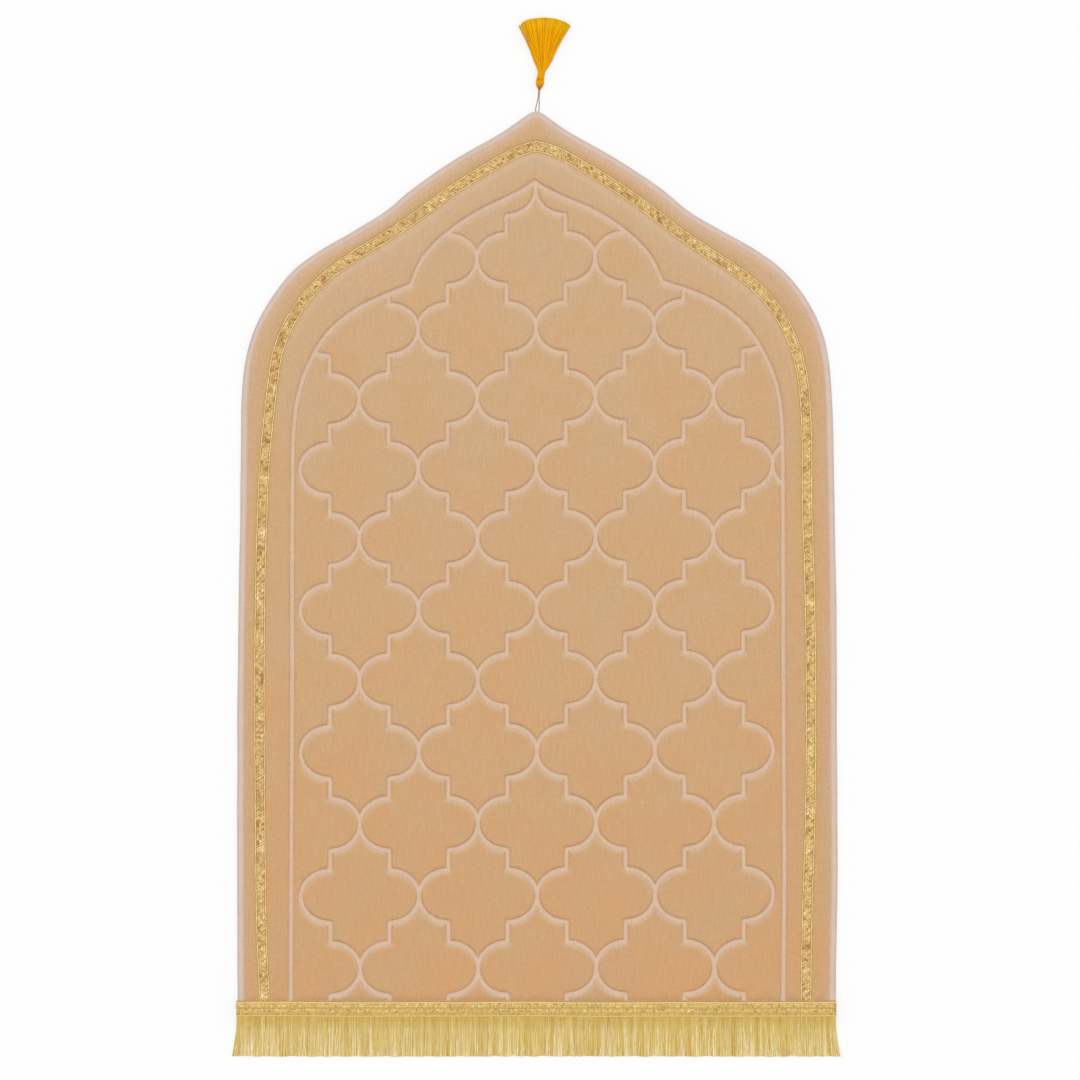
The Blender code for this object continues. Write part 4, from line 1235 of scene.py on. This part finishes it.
# Tables over the share of a silk strand's length: how much painted shade it has all over, most near
# the knot, in a crease and under the knot on the neck's left side, and how much lighter it is, a
# painted highlight towards the tips.
SILK_SHADE_ROWS = [(0.0, 0.35), (0.05, 0.2), (0.1, 0.1), (0.3, 0.05), (0.75, 0.0)]
CREASE_ROWS = [(0.1, 0.0), (0.3, 0.5), (1.0, 0.35)]
NECK_ROWS = [(0.0, 0.5), (0.06, 0.3), (0.1, 0.0)]
NECK_LEFT = -0.35  # where that side ends, of -1 to 1 across
TIP_LIGHT = [(0.85, 0.0), (1.0, 0.45)]
RIM_SHADE = (0.975, 0.3)  # place across past which a strand gets painted shade at the tassel's rim, and how much
PARTING = -0.93  # where the leftmost strands part from the rest
PARTING_ROWS = [(PARTING, 0.0011), (-0.66, 0.0)]  # place across, how far a strand moves
PARTING_GROWS = [(0.45, 0.0), (0.75, 1.0)]  # share of the length, share of that move
PARTED = -0.0003  # how far the strands beyond the parting move
HEAD_WRAPS = 9
HEAD_END = 0.0136
HEAD_SIDES = 24
CORE = (0.94, 0.92)  # the core's width and height, of the head's
WRAP_SHARE = (0.97, 0.95)  # and the same of the lines that the wraps follow
WRAP_FLOOR = 0.0006  # the lowest that a wrap's middle runs
# share along a wrap, how much painted shade it has, most at the head's tip
WRAP_SHADE = [(0.0, 1.0), (0.2, 1.0), (0.5, 0.4), (0.8, 0.15), (1.0, 0.25)]
WRAP_HALVES = (0.00062, 0.00040)
WRAP_TURN = 2.3  # radians that it goes round the head
WRAP_WEAVE = (0.035, 3.3)  # how far it goes over and under the others, and how often
WRAP_RUN = (0.0006, 0.0098)  # where the wraps start, and how far they run


def on_tassel(points):
    """Moves points from the tassel's own axis to its bent place."""
    cos, sin = math.cos(TASSEL_LEAN), math.sin(TASSEL_LEAN)
    x, y, z = np.moveaxis(np.asarray(points, float), -1, 0)
    x = x + table(TASSEL_FORM, 1, y)
    return np.stack([TASSEL_X + x * cos + y * sin, TASSEL_Y - x * sin + y * cos, z], axis=-1)


def make_skirt(material):
    """Silk strands that fan out, a runs across the fan and b from its underside up."""
    random = np.random.default_rng(41)
    count, share = SKIRT_STRANDS, SKIRT_STATIONS
    a = np.clip(random.uniform(-1, 1, count) + about(random, 0, 0.01, count), -1, 1)
    b = random.uniform(0, 1, count)
    tip = SKIRT_LENGTH - SKIRT_TIP_DROP * np.abs(a) ** 2.2 + SKIRT_TIP_TURN * a
    tip -= np.abs(about(random, 0, 0.0003, count))
    y = SKIRT_START + share * (tip - SKIRT_START)[:, None]
    reach, size = SKIRT_CLUMP
    clump = reach * waves_along(a, size, seed=42)
    wide, low, high = (table(TASSEL_FORM, column, y) for column in (2, 3, 4))
    bulge = np.sqrt(np.maximum(0.06, 1 - (a * 0.96) ** 2))[:, None]
    bulge = bulge + (1 - bulge) * table(SKIRT_FLATTENS, 1, y)
    x = (a[:, None] + clump[:, None] * share**0.7) * (wide - 0.0002)
    parting = np.where(a < PARTING, PARTED, table(PARTING_ROWS, 1, a))
    x += parting[:, None] * table(PARTING_GROWS, 1, share)
    z = (low + high) / 2 + (b[:, None] * 2 - 1) * (high - low) / 2 * bulge * 0.95
    wiggle = SKIRT_WIGGLE * np.sin(share * random.uniform(3, 8, count)[:, None] + 7 * b[:, None])
    paths = on_tassel(np.stack([x + wiggle, y, z], axis=-1))
    radius = SKIRT_RADIUS * random.uniform(0.8, 1.3, count)[:, None] * (1 + 0.5 * share)
    tone = about(random, 0.5, 0.2, count) + 0.14 * waves(np.column_stack([a, b * 0.3]), 0.12, 43)
    # painted highlight: the tips, which face the light, are lighter
    tones = np.clip(np.clip(tone, 0, 1)[:, None] + table(TIP_LIGHT, 1, share), 0, 1)
    # fine creases between the locks get painted shade
    creases = random.uniform(-1, 1, SKIRT_CREASES)
    crease = np.abs(a[:, None] - creases).min(axis=1) < CREASE_WIDTH
    deep = table(SILK_SHADE_ROWS, 1, share) + crease[:, None] * table(CREASE_ROWS, 1, share)
    outermost, rim_shade_share = RIM_SHADE
    deep += (np.abs(a) > outermost)[:, None] * rim_shade_share
    deep += (a < NECK_LEFT)[:, None] * table(NECK_ROWS, 1, share)
    values = {"tone": tones, "deep": np.clip(deep, 0, 1)}
    points, faces, values = tubes(paths, radius, radius, 3, values)
    return mesh_piece("tassel_skirt", points, faces, [material], values)


def make_head(material):
    """The knotted head: a core with yarn wrapped over it both ways."""
    turn = 2 * math.pi * np.arange(HEAD_SIDES) / HEAD_SIDES
    rings = []
    core_wide, core_tall = CORE
    for y, _, half, low, high in [row for row in TASSEL_FORM if row[0] < HEAD_END]:
        x = core_wide * half * np.cos(turn)
        z = (low + high) / 2 + core_tall * (high - low) / 2 * np.sin(turn)
        rings.append(on_tassel(np.column_stack([x, np.full(HEAD_SIDES, y + 0.0002), z])))
    points, faces = lofted(rings[::-1])
    # the core shows only between the wraps, in painted shade
    values = {"tone": np.full(len(points), 0.1), "deep": np.full(len(points), 1.0)}
    parts = [(points, faces, values)]
    random = np.random.default_rng(51)
    t = np.linspace(0, 1, 15)
    start, run = WRAP_RUN
    y = start + t * run
    half, low, high = (table(TASSEL_FORM, column, y) for column in (2, 3, 4))
    deep = [table(WRAP_SHADE, 1, t)]
    wide, tall = WRAP_SHARE
    reach, often = WRAP_WEAVE
    for way in (-1, 1):
        for k in range(HEAD_WRAPS):
            angle = 2 * math.pi * (k + 0.25 * way) / HEAD_WRAPS + way * WRAP_TURN * t
            weave = 1.0 + reach * np.sin(2 * math.pi * (t * often + k / 2 + (way > 0) * 0.5))
            x = half * wide * weave * np.cos(angle)
            z = (low + high) / 2 + (high - low) / 2 * tall * weave * np.sin(angle)
            path = on_tassel(np.stack([x, y, np.maximum(z, WRAP_FLOOR)], axis=-1))[None]
            values = {"tone": [random.uniform(0.25, 0.7)], "deep": deep}
            parts.append(tubes(path, *WRAP_HALVES, 6, values))
    points, faces, values = joined(*parts)
    return mesh_piece("tassel_knot", points, faces, [material], values)


# ---- thread
THREAD = 0.0009
THREAD_TURN = 0.0018  # radius of its turn inside the head
THREAD_TURN_Y = 0.0048
THREAD_TURN_POINTS = 11
THREAD_PAIR = THREAD + GAP + 0.00005  # between its two legs' centre lines at the head
THREAD_ROOT_Z = 0.00275
THREAD_LEG_ROWS = [  # left x, right x, y, z
    (-0.00075, 0.00315, 1.0588, 0.0020),
    (0.00020, 0.00345, 1.0630, 0.0010),
    (0.00130, 0.00335, 1.0680, 0.0007),
    (0.00195, 0.00330, 1.0720, 0.0009),
    (0.00240, 0.00368, 1.0765, 0.0019),
]
THREAD_ROOTS_X = (-0.0010, 0.0030)
THREAD_HEAD_Z = 0.0031


def thread_root(x):
    """Where the thread leaves the binding's edge near the point of the arch."""
    half = EDGE[EDGE[:, 0] >= 0]
    y = np.interp(abs(x) - THREAD / 2, half[:, 0], half[:, 1]) + GAP
    return (x, y, THREAD_ROOT_Z)


def turn_line():
    """The thread's turn inside the head, along the tassel's axis."""
    start = THREAD_PAIR / 2
    neck = [(start, 0.0), (start + 0.0001, 0.0012), (start + 0.00035, 0.0024)]
    swing = np.linspace(math.radians(-38), math.radians(218), THREAD_TURN_POINTS)
    arc = [
        (THREAD_TURN * math.cos(a), THREAD_TURN_Y + THREAD_TURN * math.sin(a)) for a in swing
    ]
    return [*neck, *arc, *[(-x, y) for x, y in neck[::-1]]]


def make_thread(material):
    turn = on_tassel([(x, y, THREAD_HEAD_Z) for x, y in turn_line()])
    left = [thread_root(THREAD_ROOTS_X[0])] + [(x, y, z) for x, _, y, z in THREAD_LEG_ROWS]
    right = [thread_root(THREAD_ROOTS_X[1])] + [(x, y, z) for _, x, y, z in THREAD_LEG_ROWS]
    route = smooth([*right, *turn, *left[::-1]], steps=4) + [0, ORIGIN_Y, 0]
    curve = bpy.data.curves.new("tassel_thread", "CURVE")
    curve.dimensions = "3D"
    curve.bevel_depth = THREAD / 2
    curve.bevel_resolution = 3
    curve.use_fill_caps = True
    spline = curve.splines.new("POLY")
    spline.points.add(len(route) - 1)
    for point, place in zip(spline.points, route):
        point.co = (*place, 1)
    curve.materials.append(material)
    thread = put_in_scene("tassel_thread", curve)
    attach(thread, "root")
    tuple(route[0])
    return thread


# ---- the whole rug
make_view()

mat = make_mat(velvet(), backing())
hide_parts("mat")

binding = make_binding(binding_cloth())
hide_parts("edge_binding")

yarns = {row[0]: gold(*row) for row in GOLD_YARNS}
braid, braid_yarns = make_braid(yarns["braid_ground"], yarns["lurex_gold"])
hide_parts("gold_braid")

tape, cords = make_heading(yarns["fringe_tape"], yarns["heading_gold"])
strands = make_strands("fringe_strands", yarns["fringe_gold"], 31, 0.4, 1.0)
under_strands = make_strands("fringe_under_strands", yarns["fringe_gold"], 36, 0.0, 0.6)
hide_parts("fringe")

silk_yarn = silk()
knot = make_head(silk_yarn)
skirt = make_skirt(silk_yarn)
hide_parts("tassel")

thread = make_thread(thread_yarn())
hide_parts("tassel_loop")
